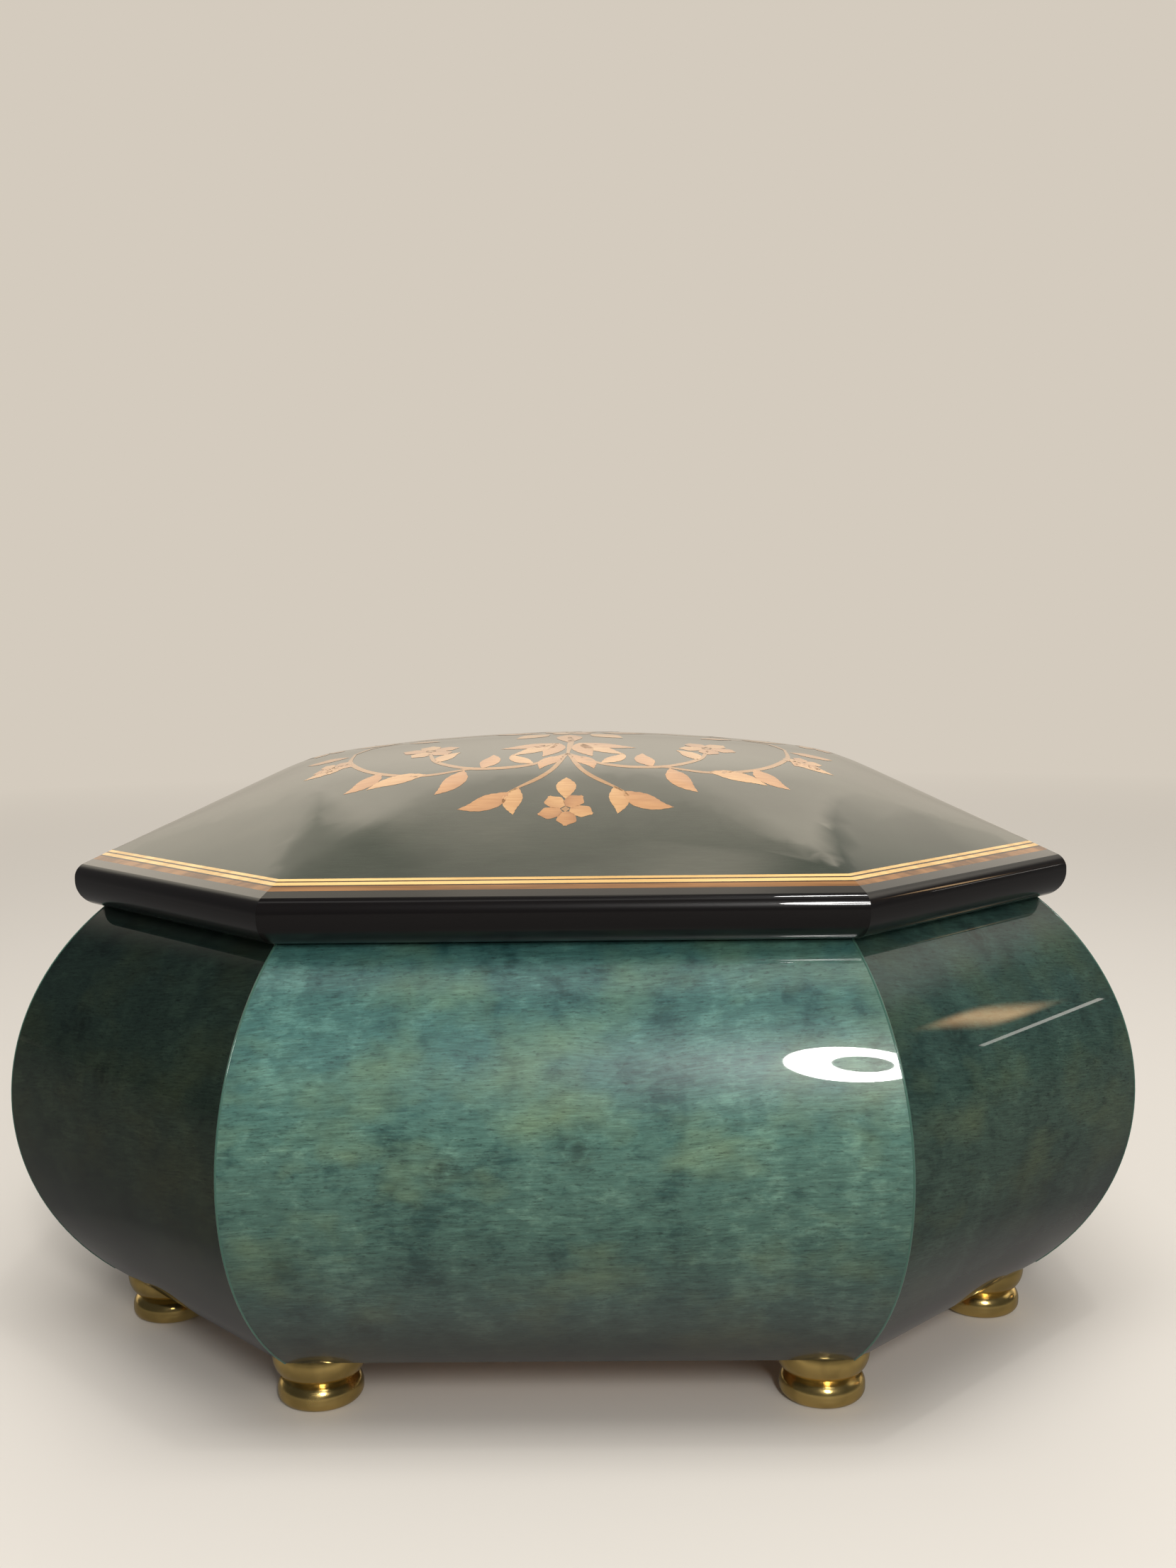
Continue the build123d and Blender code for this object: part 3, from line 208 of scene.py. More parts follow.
class Paint(Tree):
    """A material, built round its shader."""

    def __init__(self, name):
        self.material = bpy.data.materials.new(name)
        self.material.use_nodes = True
        super().__init__(self.material.node_tree)
        self.shader = self.nodes["Principled BSDF"]

    def set(self, **values):
        """Sets the shader's sockets; underscores stand for spaces."""
        for key, value in values.items():
            self.put(self.shader.inputs[key.replace("_", " ")], value)

    def bump(self, height, distance, strength):
        node = self.add("ShaderNodeBump")
        self.put(node.inputs["Strength"], strength)
        self.put(node.inputs["Distance"], distance)
        self.put(node.inputs["Height"], height)
        self.put(self.shader.inputs["Normal"], node.outputs["Normal"])


def lacquer(paint, under):
    """Thick clear gloss over whatever colour the paint has, rough by under below it."""
    paint.set(Roughness=under, Coat_Weight=1.0, Coat_Roughness=0.018, Coat_IOR=1.5)
    return paint.material


# Rings of a small knot, from its centre outwards
KNOT_RINGS = [
    (0.0, (0.42, 0.44, 0.44, 1)),
    (0.03, (0.6, 0.6, 0.6, 1)),
    (0.05, (0.94, 0.94, 0.94, 1)),
    (0.065, (0.72, 0.72, 0.72, 1)),
    (0.11, (1, 1, 1, 1)),
]
KNOT_SCALE = 24
KNOT_STRENGTH = 0.85
KNOT_WOBBLE = (0.006, 0.006, 0)
# Painted shade up the wall, laid over the dye: nearly black at the foot, deeper and bluer at the
# top
PAINTED_WALL_SHADE = [
    (0.0, (0.16, 0.1, 0.09, 1)),
    (0.09, (0.26, 0.2, 0.2, 1)),
    (0.2, (0.42, 0.4, 0.42, 1)),
    (0.42, (0.84, 0.84, 0.82, 1)),
    (0.58, (1, 1, 0.98, 1)),
    (0.78, (0.74, 0.88, 0.97, 1)),
    (1.0, (0.5, 0.64, 0.72, 1)),
]
FIBRE_DRIFT = (0, 0, 0.004)
OLIVE_TINT = (1.24, 1.05, 0.86)


def veneer(name, angle, slant, seed, dark, light, sheen):
    """Dyed figured veneer; its fibres run along the panel that faces angle."""
    tree = Paint(name)
    where = tree.coordinates()
    facing = tree.mapped(where, turn=(0, 0, -math.radians(angle + 90)))
    panel = tree.mapped(facing, turn=(0, math.radians(slant), 0), shift=(seed, 0, seed * 0.7))

    # Broad bands, blotches and fine figure make the tone
    bands = tree.noise(tree.mapped(panel, scale=(1.9, 0.5, 0.5)), 34, 2.5, 0.5, warp=0.4)
    blotch = tree.noise(tree.mapped(panel, scale=(1, 0.5, 1.2)), 95, 3, 0.6, warp=0.3)
    figure = tree.noise(tree.mapped(panel, scale=(1, 0.5, 2.2)), 230, 4, 0.7, warp=0.3)
    tone = tree.weighted((bands, 0.36), (blotch, 0.3), (figure, 0.34))
    middle = rgb(*[(d + li) / 2 for d, li in zip(dark, light)])
    colour = tree.ramp(tone, [(0.38, rgb(*dark)), (0.5, middle), (0.62, rgb(*light))])

    # Olive patches
    warm = tree.noise(tree.mapped(panel, scale=(0.8, 0.5, 1.3), shift=(3, 1, 2)), 46, 3, 0.6)
    olive = rgb(*[c * f for c, f in zip(light, OLIVE_TINT)])
    colour = tree.mix(tree.grey(warm, 0.48, 0.72, 0.0, 0.55), colour, olive)

    # Fibres and pores, which wander a little
    wandering = tree.nudged(panel, tree.noise(panel, 24, 2, 0.5), FIBRE_DRIFT)
    fibre = tree.noise(tree.mapped(wandering, scale=(1, 0.2, 12)), 250, 4, 0.75)
    pores = tree.noise(tree.mapped(wandering, scale=(1, 0.3, 4.5)), 620, 2, 0.6)
    colour = tree.tinted(colour, tree.grey(fibre, 0.3, 0.7, 0.64, 1.38))
    colour = tree.tinted(colour, tree.grey(pores, 0.3, 0.42, 0.6, 1.0))

    # Small knots
    across = tree.split(panel)
    flat = tree.add("ShaderNodeCombineXYZ")
    tree.put(flat.inputs["X"], across["X"])
    tree.put(flat.inputs["Y"], across["Z"])
    cells = tree.add("ShaderNodeTexVoronoi", voronoi_dimensions="2D")
    tree.put(cells.inputs["Vector"], tree.nudged(flat.outputs[0], figure, KNOT_WOBBLE))
    tree.put(cells.inputs["Scale"], KNOT_SCALE)
    colour = tree.tinted(colour, tree.ramp(cells.outputs["Distance"], KNOT_RINGS), KNOT_STRENGTH)

    # Painted shade by height on the wall: darkest at the foot, deeper and bluer at the top
    height = tree.grey(tree.split(where)["Z"], FOOT_HEIGHT, WALL_TOP)
    colour = tree.tinted(colour, tree.ramp(height, PAINTED_WALL_SHADE, smooth=False))
    tree.set(Base_Color=colour, Specular_IOR_Level=sheen)
    return lacquer(tree, 0.36)


def plain_wood(name, dark, light, lacquered):
    """Straight-grained timber."""
    tree = Paint(name)
    grain = tree.noise(tree.mapped(tree.coordinates(), scale=(1, 14, 14)), 16, 5, 0.6, warp=0.3)
    tree.set(Base_Color=tree.ramp(grain, [(0.35, rgb(*dark)), (0.65, rgb(*light))]), Roughness=0.6)
    if lacquered:
        tree.set(Specular_IOR_Level=0.0)
        return lacquer(tree, 0.4)
    return tree.material


def inlay_wood(name, dark, light, edge):
    """Marquetry veneer under lacquer, scorched towards one side of each piece."""
    tree = Paint(name)
    along = tree.mapped(tree.coordinates(), turn=(0, 0, 0.6), scale=(1, 9, 1))
    tone = tree.ramp(tree.noise(along, 160, 4, 0.65), [(0.3, rgb(*dark)), (0.7, rgb(*light))])
    shade = tree.add("ShaderNodeAttribute", attribute_name="scorch").outputs["Fac"]
    tree.set(Base_Color=tree.mix(shade, tone, rgb(*edge)), Specular_IOR_Level=0.0)
    return lacquer(tree, 0.4)


def dimmed(colour, share):
    """A screen colour as linear light, times share."""
    return tuple(c * share for c in rgb(*colour)[:3]) + (1.0,)


def metal(name, colour, rough, scratch):
    """Bare metal; scratch is the roughness that fine wear adds in places."""
    tree = Paint(name)
    if scratch:
        cloud = tree.noise(tree.coordinates(), 180, 4, 0.6)
        tree.set(Roughness=tree.grey(cloud, 0.3, 0.7, rough, rough + scratch))
        tarnish = tree.noise(tree.coordinates(), 90, 3, 0.6)
        worn = dimmed(colour, 0.72)
        tree.set(Base_Color=tree.ramp(tarnish, [(0.35, worn), (0.6, rgb(*colour))]))
    else:
        tree.set(Base_Color=rgb(*colour), Roughness=rough)
    tree.set(Metallic=1.0)
    return tree.material


def velvet(name, colour):
    tree = Paint(name)
    nap = tree.noise(tree.coordinates(), 60, 3, 0.6)
    stops = [(0.35, dimmed(colour, 0.84)), (0.65, rgb(*colour))]
    tree.set(Base_Color=tree.ramp(nap, stops), Roughness=0.95)
    tree.set(Sheen_Weight=0.5, Sheen_Roughness=0.35, Specular_IOR_Level=0.1)
    tree.bump(tree.noise(tree.coordinates(), 2600, 2, 0.6), distance=0.0002, strength=0.5)
    return tree.material


def give(material, *names):
    for name in names:
        nodes[name].data.materials.clear()
        nodes[name].data.materials.append(material)


# Walls: side, facing angle, slant of the grain, seed, dark and light tone, sheen under lacquer
# The tones hold painted shade: front palest, sides and back a little darker, corner panels darker
# still, front left darkest, as lit from the front right
WALLS = [
    ("front", 270, 2, 1.3, (42, 76, 71), (95, 131, 116), 0.55),
    ("front_right", 315, -9, 4.1, (34, 52, 46), (60, 80, 69), 0.1),
    ("right", 0, 3, 6.2, (34, 66, 62), (76, 112, 98), 0.1),
    ("rear_right", 45, -8, 8.8, (26, 50, 47), (56, 84, 73), 0.05),
    ("rear", 90, 2, 11.7, (38, 72, 68), (86, 122, 106), 0.2),
    ("rear_left", 135, 8, 14.9, (26, 50, 47), (56, 84, 73), 0.05),
    ("left", 180, -3, 17.5, (34, 66, 62), (76, 112, 98), 0.1),
    ("front_left", 225, 9, 20.1, (20, 29, 24), (38, 48, 38), 0.0),
]
for side, *look in WALLS:
    give(veneer("veneer_" + side, *look), side + "_wall")

# Domed top: dark grey-green veneer
dome = Paint("dome_veneer")
dome_place = dome.coordinates()
dome_cloud = dome.noise(dome.mapped(dome_place, scale=(0.7, 1.2, 1)), 30, 4, 0.6, warp=0.4)
dome_fibre = dome.noise(dome.mapped(dome_place, scale=(1, 9, 9)), 200, 4, 0.65)
dome_tones = [(0.35, rgb(38, 45, 37)), (0.55, rgb(48, 54, 45)), (0.75, rgb(57, 61, 51))]
dome_streaks = dome.grey(dome_fibre, 0.3, 0.7, 0.86, 1.12)
dome_colour = dome.tinted(dome.ramp(dome_cloud, dome_tones), dome_streaks)
dome.set(Base_Color=dome_colour, Specular_IOR_Level=0.0)
give(lacquer(dome, 0.42), "lid_board")

edge = Paint("black_edge")
edge.set(Base_Color=rgb(14, 11, 11), Specular_IOR_Level=0.15)
give(lacquer(edge, 0.3), *[wall[0] + "_moulding" for wall in WALLS])

# Woods: name, dark, light, lacquered, nodes
WOODS = [
    ("stringing_brown", (96, 62, 34), (150, 104, 60), True, ["stringing_brown"]),
    ("stringing_dark", (44, 28, 18), (66, 42, 26), True, ["stringing_dark"]),
    ("stringing_light", (200, 158, 94), (230, 192, 126), True, ["stringing_light"]),
    ("carcass_wood", (150, 112, 74), (188, 148, 104), False, ["base_board", "battens"]),
]
for name, dark, light, lacquered, pieces in WOODS:
    give(plain_wood(name, dark, light, lacquered), *pieces)

FEET = [name for name in nodes if name.startswith("foot_") and name != "foot_screws"]
# Metals: name, colour, roughness, added wear, nodes
METALS = [
    ("foot_brass", (250, 216, 136), 0.14, 0.14, FEET),
    (
        "hinge_brass",
        (220, 178, 94),
        0.22,
        0.08,
        ["hinge_body_leaves", "hinge_lid_leaves", "hinge_pins"],
    ),
    ("key_brass", (222, 180, 96), 0.2, 0, ["winding_key"]),
    ("cylinder_brass", (220, 176, 90), 0.25, 0, ["music_cylinder", "spring_barrel", "barrel_cap"]),
    ("gear_brass", (214, 170, 86), 0.3, 0, ["cylinder_arbor", "second_wheel", "governor_frame"]),
    ("bed_brass", (206, 170, 96), 0.38, 0, ["bedplate"]),
    ("comb_steel", (196, 198, 202), 0.28, 0, ["comb"]),
    ("screw_steel", (176, 177, 180), 0.3, 0, ["foot_screws", "movement_screws", "comb_screws"]),
    ("hinge_screw", (196, 160, 90), 0.3, 0, ["hinge_body_screws", "hinge_lid_screws"]),
    (
        "arbor_steel",
        (170, 172, 176),
        0.28,
        0,
        ["winding_arbor", "worm_fan", "stop_lever", "stop_rod"],
    ),
    ("spring_steel", (96, 102, 116), 0.35, 0, ["mainspring"]),
]
for name, colour, rough, scratch, pieces in METALS:
    give(metal(name, colour, rough, scratch), *pieces)

lining_velvet = velvet("velvet_lining", (104, 20, 31))
give(lining_velvet, "well_lining", "raised_floor", "music_partition", "dividers")
soft_velvet = velvet("velvet_soft", (124, 26, 38))

cover = Paint("clear_cover")
cover.set(Base_Color=(0.97, 0.985, 0.985, 1), Roughness=0.02, Transmission_Weight=1.0, IOR=1.47)
give(cover.material, "music_cover")


def new_piece(name, mesh, material, body):
    """Adds a mesh to the scene as a piece that rides on a body."""
    piece = bpy.data.objects.new(name, mesh)
    bpy.context.scene.collection.objects.link(piece)
    mesh.materials.append(material)
    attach(piece, body)
    return piece


# Marquetry: leaves and petals laid on the dome, each a thin strip along a curve
dome_bvh = BVHTree.FromPolygons(
    [v.co.copy() for v in nodes["lid_board"].data.vertices],
    [tuple(p.vertices) for p in nodes["lid_board"].data.polygons],
)
INLAY_RISE = 0.00004
ABOVE_LID = 0.2
SCORCH_FADE = 0.4


def on_dome(x, y):
    """Point just above the lid's polished top."""
    hit = dome_bvh.ray_cast(Vector((x, y, ABOVE_LID)), Vector((0, 0, -1)))
    return Vector((x, y, hit[0].z + INLAY_RISE))


def curve_points(controls, count):
    """Points along a smooth curve through the control points."""
    ends = [2 * Vector(controls[0]) - Vector(controls[1]), *[Vector(c) for c in controls]]
    ends.append(2 * Vector(controls[-1]) - Vector(controls[-2]))
    points = []
    spans = len(controls) - 1
    for i in range(count + 1):
        place = min(i / count * spans, spans - 1e-6)
        k = int(place)
        t = place - k
        p0, p1, p2, p3 = ends[k : k + 4]
        points.append(
            0.5
            * (
                2 * p1
                + (p2 - p0) * t
                + (2 * p0 - 5 * p1 + 4 * p2 - p3) * t * t
                + (3 * p1 - p0 - 3 * p2 + p3) * t**3
            )
        )
    return points


class Inlay:
    """Gathers the pieces of marquetry that are cut from one wood."""

    def __init__(self):
        self.vertices = []
        self.faces = []
        self.scorch = []

    def strip(self, controls, widths, scorch, count=22, across=4):
        """A blade along a curve; widths are spread evenly along it, and scorch runs across it."""
        line = curve_points([(x / 1000, y / 1000) for x, y in controls], count)
        first = len(self.vertices)
        for i, point in enumerate(line):
            before = line[max(i - 1, 0)]
            after = line[min(i + 1, count)]
            along = (after - before).normalized()
            side = Vector((-along.y, along.x))
            place = i / count * (len(widths) - 1)
            k = min(int(place), len(widths) - 2)
            t = place - k
            t = t * t * (3 - 2 * t)
            width = (widths[k] * (1 - t) + widths[k + 1] * t) / 1000
            for j in range(across + 1):
                share = j / across - 0.5
                spot = point + side * (width * share)
                self.vertices.append(on_dome(spot.x, spot.y))
                burnt = scorch[0] + (scorch[1] - scorch[0]) * (share + 0.5) ** 2
                self.scorch.append(burnt * (1 - SCORCH_FADE * i / count))
        for i in range(count):
            for j in range(across):
                a = first + i * (across + 1) + j
                b = a + across + 1
                self.faces.append((a, a + 1, b + 1, b))

    def build(self, name, material, slot):
        mesh = bpy.data.meshes.new(name)
        mesh.from_pydata([tuple(v) for v in self.vertices], [], self.faces)
        check = bmesh.new()
        check.from_mesh(mesh)
        bmesh.ops.recalc_face_normals(check, faces=check.faces)
        for face in check.faces:
            if face.normal.z < 0:
                face.normal_flip()
            face.smooth = True
        check.to_mesh(mesh)
        check.free()
        layer = mesh.attributes.new("scorch", "FLOAT", "POINT")
        layer.data.foreach_set("value", self.scorch)
        new_piece(name, mesh, material, "lid")


def turned(points, angle, centre):
    """Points turned about the origin, then moved to centre."""
    c, s = math.cos(math.radians(angle)), math.sin(math.radians(angle))
    return [(centre[0] + x * c - y * s, centre[1] + x * s + y * c) for x, y in points]


def mirrored(angle, side, end):
    """An angle of the rear right quarter, for the quarter that side and end name."""
    return (angle if side > 0 else 180 - angle) * end


pale = Inlay()
tan = Inlay()
stems = Inlay()
PETALS = 5
LEAF_SWELL = (0.05, 0.5, 0.86, 1.0, 0.96, 0.8, 0.55, 0.28, 0.02)
LEAF_CURVE = ((0, 0), (0.35, 0.35), (0.7, 0.42), (1, 0.1))


def flower(x, y, angle, size):
    """Small five-petalled flower with a round eye."""
    petal = [(0.16 * size, 0), (0.55 * size, 0.05 * size), (size, 0)]
    widths = (0.25 * size, 0.62 * size, 0.7 * size, 0.12 * size)
    for k in range(PETALS):
        bent = turned(petal, angle + 360 / PETALS * k, (x, y))
        (pale if k % 2 else tan).strip(bent, widths, (0.1, 0.7))
    eye = turned([(-0.16 * size, 0), (0.16 * size, 0)], angle, (x, y))
    stems.strip(eye, (0.05 * size, 0.3 * size, 0.05 * size), (0.2, 0.2), 8)


def leaf(x, y, angle, length, width, bend, wood):
    """Pointed leaf that starts at x, y."""
    rise = bend * length
    shape = [(length * along, rise * up) for along, up in LEAF_CURVE]
    wood.strip(turned(shape, angle, (x, y)), [width * s for s in LEAF_SWELL], (0.0, 0.4), 32)


def stem(points, wide):
    stems.strip(points, (wide * 0.7, wide, wide, wide * 0.5), (0.1, 0.3), 30, 2)


# Scrolls of the rear right quarter, from the middle line out to the end: points, width
SCROLLS = [
    ([(0, 34), (9, 43), (22, 44), (31, 37), (34, 27)], 1.5),
    ([(22, 44), (34, 46), (46, 40), (53, 29), (54, 16)], 1.4),
    ([(0, 34), (4, 47), (13, 56)], 1.2),
    ([(54, 16), (50, 6), (42, 4)], 1.2),
]
# Leaves of the same quarter: foot x and y, angle, length, width, bend, wood
SCROLL_LEAVES = [
    (13, 56, 30, 13, 5.6, 0.25, tan),
    (11, 54, 88, 11, 4.6, -0.2, pale),
    (24, 45, 62, 13, 5.2, 0.2, tan),
    (33, 45.5, 20, 14, 5.4, -0.2, pale),
    (44, 41, 50, 12, 5.0, 0.25, tan),
    (53, 29, 25, 12, 4.8, 0.2, pale),
    (55, 19, -10, 11, 4.6, 0.25, tan),
    (31, 37, -120, 10, 4.4, 0.25, pale),
    (20, 44, -100, 11, 4.6, -0.2, tan),
    (8, 42, -60, 10, 4.0, 0.3, pale),
    (42, 4, 150, 10, 4.2, 0.2, tan),
]
for side in (1, -1):
    for end in (1, -1):
        for points, wide in SCROLLS:
            stem([(x * side, y * end) for x, y in points], wide)
        for x, y, angle, length, width, bend, wood in SCROLL_LEAVES:
            heading = mirrored(angle, side, end)
            leaf(x * side, y * end, heading, length, width, bend * side * end, wood)
        flower(34 * side, 24 * end, 20 * side * end, 7.2)
        flower(57 * side, 30 * end, 50 * side * end, 5.0)

# Sprays in the middle of each long side
for end in (1, -1):
    flower(0, 63 * end, 90 * end, 6.4)
    leaf(0, 50 * end, 90 * end, 9, 4.6, 0.0, pale)
    leaf(1, 36 * end, 62 * end, 11, 4.4, 0.2, tan)
    leaf(-1, 36 * end, 118 * end, 11, 4.4, -0.2, tan)
    for side in (1, -1):
        for angle, reach, wood in ((20, 15, tan), (48, 17, pale), (76, 15, tan)):
            heading = mirrored(angle, side, end)
            leaf(2.5 * side, 22 * end, heading, reach, 5.2, 0.12 * side * end, wood)
    stem([(0, 12 * end), (0.5, 20 * end), (0, 34 * end)], 1.5)

# Stems towards each end
for side in (1, -1):
    stem([(12 * side, 0), (26 * side, 0.5), (42 * side, 0)], 1.5)
    leaf(44 * side, 0, mirrored(0, side, 1), 13, 6.0, 0.0, pale)
    flower(64 * side, 0, mirrored(0, side, 1), 6.0)

# Rosette in the middle
for k in range(8):
    turn = math.radians(45 * k)
    reach, wood = (11.5, pale) if k % 2 else (13.5, tan)
    leaf(7.5 * math.cos(turn), 7.5 * math.sin(turn), 45 * k, reach, 6.6, 0.0, wood)
flower(0, 0, 18, 7.2)

# Marquetry woods: pieces, name, dark, light, scorched edge, slot
for pieces, name, dark, light, burnt, slot in (
    (pale, "marquetry_pale", (178, 130, 80), (192, 148, 96), (150, 98, 54), "light_inlay"),
    (tan, "marquetry_tan", (166, 114, 66), (180, 130, 80), (128, 78, 42), "light_inlay"),
    (stems, "marquetry_stems", (150, 108, 66), (166, 124, 78), (106, 70, 38), "brown_inlay"),
):
    pieces.build(name, inlay_wood(name, dark, light, burnt), slot)

# Lacquered seams between the wall panels, each a thin tube up a corner that catches real
# highlights, in a pale teal that is a painted glint
SEAM_RADIUS = 0.00032
SEAM_OUT = SEAM_RADIUS * 0.72
SEAM_STEPS = 40
SEAM_SIDES = 8
# Pale teal paint: a painted glint along each joint
glinting_seam = Paint("glinting_seam")
glinting_seam.set(Base_Color=rgb(58, 92, 80), Specular_IOR_Level=0.5)
seam_glint_paint = lacquer(glinting_seam, 0.3)
seam_vertices, seam_faces = [], []
for corner in range(8):
    centres = []
    for step in range(SEAM_STEPS + 1):
        z = FOOT_HEIGHT + (WALL_TOP - FOOT_HEIGHT) * step / SEAM_STEPS
        x, y = outline(-wall_offset(z) + SEAM_OUT)[corner]
        centres.append(Vector((x, y, z)))
    base = len(seam_vertices)
    for step, centre in enumerate(centres):
        run = (centres[min(step + 1, SEAM_STEPS)] - centres[max(step - 1, 0)]).normalized()
        level = Vector((-centre.y, centre.x, 0)).normalized()
        out = level.cross(run).normalized()
        for k in range(SEAM_SIDES):
            turn = 2 * math.pi * k / SEAM_SIDES
            offset = level * math.cos(turn) + out * math.sin(turn)
            seam_vertices.append(centre + offset * SEAM_RADIUS)
    for step in range(SEAM_STEPS):
        for k in range(SEAM_SIDES):
            a = base + step * SEAM_SIDES + k
            b = base + step * SEAM_SIDES + (k + 1) % SEAM_SIDES
            seam_faces.append((a, b, b + SEAM_SIDES, a + SEAM_SIDES))
seam_mesh = bpy.data.meshes.new("wall_seams")
seam_mesh.from_pydata([tuple(v) for v in seam_vertices], [], seam_faces)
for polygon in seam_mesh.polygons:
    polygon.use_smooth = True
new_piece("wall_seams", seam_mesh, seam_glint_paint, "box")

# Padded panel inside the lid, in velvet, with a rounded edge and a shallow quilt
PAD_INSET = 0.0333
PAD_ROUND = 0.006
PAD_RIM = 0.3
PAD_RINGS = 44
PAD_RING_SPREAD = 1.15
PAD_PER_SIDE = 14
TUFT_PITCH = (0.021, 0.0185)
TUFT_MARGIN = 0.012
TUFT_DEPTH = 0.0016
TUFT_REACH = 0.0042
pad_low, pad_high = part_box("lid_pad")
pad_corners = outline(PAD_INSET)


def edge_distance(corners, x, y):
    """Distance inside a convex outline, negative outside."""
    nearest = 1.0
    for k, (x1, y1) in enumerate(corners):
        x2, y2 = corners[(k + 1) % len(corners)]
        length = math.hypot(x2 - x1, y2 - y1)
        nearest = min(nearest, ((x2 - x1) * (y - y1) - (y2 - y1) * (x - x1)) / length)
    return nearest


def pad_depth(x, y, tufts, thickness):
    """Thickness of the pad at a point: less at its edge, and dented at the tufts."""
    drawn = min(max(edge_distance(pad_corners, x, y), 0.0) / PAD_ROUND, 1.0)
    swell = math.sqrt(max(0.0, 1 - (1 - drawn) ** 2))
    depth = thickness * (PAD_RIM + (1 - PAD_RIM) * swell)
    for tuft_x, tuft_y in tufts:
        gap = math.hypot(x - tuft_x, y - tuft_y)
        depth -= TUFT_DEPTH * math.exp(-((gap / TUFT_REACH) ** 2))
    return depth


def pad_mesh(name, tufts, back, thickness):
    """Panel that hangs from back, made of rings that shrink towards its middle."""
    mesh = bpy.data.meshes.new(name)
    work = bmesh.new()
    centre_x = sum(c[0] for c in pad_corners) / len(pad_corners)
    centre_y = sum(c[1] for c in pad_corners) / len(pad_corners)
    rim = []
    for k, (x1, y1) in enumerate(pad_corners):
        x2, y2 = pad_corners[(k + 1) % len(pad_corners)]
        for i in range(PAD_PER_SIDE):
            t = i / PAD_PER_SIDE
            rim.append((x1 + (x2 - x1) * t, y1 + (y2 - y1) * t))
    count = len(rim)
    rings = [[work.verts.new((x, y, back)) for x, y in rim]]
    for ring in range(PAD_RINGS):
        share = 1 - (ring / PAD_RINGS) ** PAD_RING_SPREAD
        row = []
        for x, y in rim:
            px = centre_x + (x - centre_x) * share
            py = centre_y + (y - centre_y) * share
            row.append(work.verts.new((px, py, back - pad_depth(px, py, tufts, thickness))))
        rings.append(row)
    middle = work.verts.new((centre_x, centre_y, back - thickness))
    for outer, inner in zip(rings, rings[1:]):
        for k in range(count):
            n = (k + 1) % count
            work.faces.new((outer[k], outer[n], inner[n], inner[k]))
    for k in range(count):
        work.faces.new((rings[-1][k], rings[-1][(k + 1) % count], middle))
    work.faces.new(list(reversed(rings[0])))
    bmesh.ops.recalc_face_normals(work, faces=work.faces)
    for polygon in work.faces:
        polygon.smooth = True
    work.to_mesh(mesh)
    work.free()
    return mesh


quilt = []
for i in range(-4, 5):
    for j in range(-3, 4):
        spot = ((i + (0.5 if j % 2 else 0)) * TUFT_PITCH[0], j * TUFT_PITCH[1])
        if edge_distance(pad_corners, *spot) > TUFT_MARGIN:
            quilt.append(spot)
panel_mesh = pad_mesh("quilted_panel", quilt, pad_high.z, pad_high.z - pad_low.z)
panel = new_piece("quilted_panel", panel_mesh, soft_velvet, "lid")
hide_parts("lid_pad")

# Ring bed, a padded block with soft edges
BED_EDGE = 0.0012
bed_low, bed_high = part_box("ring_bed")
bed_mesh = bpy.data.meshes.new("ring_base")
bed_work = bmesh.new()
bmesh.ops.create_cube(bed_work, size=1.0)
for vertex in bed_work.verts:
    for axis in range(3):
        low, high = bed_low[axis], bed_high[axis]
        vertex.co[axis] = low + (vertex.co[axis] + 0.5) * (high - low)
bmesh.ops.bevel(
    bed_work,
    geom=list(bed_work.edges),
    offset=BED_EDGE,
    segments=3,
    affect="EDGES",
    profile=0.5,
)
for polygon in bed_work.faces:
    polygon.smooth = True
bed_work.to_mesh(bed_mesh)
bed_work.free()
bed = new_piece("ring_base", bed_mesh, soft_velvet, "box")
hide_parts("ring_bed")

# Ring rolls: half-round pads side by side, drawn in at their ends
ROLLS = 5
ROLL_GAP = 0.0006
ROLL_STATIONS = 40
ROLL_SWEEP = 20
ROLL_END = 0.004
ROLL_END_SIZE = 0.72
RIPPLE_DEPTH = 0.012
RIPPLE_RATE = 212.5
roll_low, roll_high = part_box("ring_rolls")
roll_pitch = (bed_high.y - bed_low.y) / ROLLS


def roll_mesh(name, number):
    """One roll, as a row of half-round sections along X."""
    mesh = bpy.data.meshes.new(name)
    work = bmesh.new()
    middle = bed_low.y + roll_pitch * (number + 0.5)
    half = (roll_pitch - ROLL_GAP) / 2
    tall = roll_high.z - roll_low.z
    long = roll_high.x - roll_low.x
    sections = []
    for station in range(ROLL_STATIONS + 1):
        share = station / ROLL_STATIONS
        x = roll_low.x + long * share
        near_end = 1 - min(min(share, 1 - share) * long / ROLL_END, 1)
        drawn = math.sqrt(max(0.0, 1 - near_end**2)) * (1 - ROLL_END_SIZE) + ROLL_END_SIZE
        ripple = 1 - RIPPLE_DEPTH * abs(math.sin(RIPPLE_RATE * x + number))
        section = []
        for k in range(ROLL_SWEEP + 1):
            angle = math.pi * k / ROLL_SWEEP
            wide = half * (0.72 + 0.28 * math.sin(angle) ** 0.6)
            y = middle + wide * math.cos(angle) * (0.92 + 0.08 * drawn)
            z = roll_low.z + tall * math.sin(angle) ** 0.8 * drawn * ripple
            section.append(work.verts.new((x, y, z)))
        sections.append(section)
    for here, after in zip(sections, sections[1:]):
        for k in range(ROLL_SWEEP):
            work.faces.new((here[k], here[k + 1], after[k + 1], after[k]))
        work.faces.new((here[-1], here[0], after[0], after[-1]))
    work.faces.new(sections[0])
    work.faces.new(list(reversed(sections[-1])))
    bmesh.ops.recalc_face_normals(work, faces=work.faces)
    for polygon in work.faces:
        polygon.smooth = len(polygon.verts) == 4
    work.to_mesh(mesh)
    work.free()
    return mesh


for number in range(ROLLS):
    name = f"ring_roll_{number}"
    roll = new_piece(name, roll_mesh(name, number), soft_velvet, "box")
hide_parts("ring_rolls")
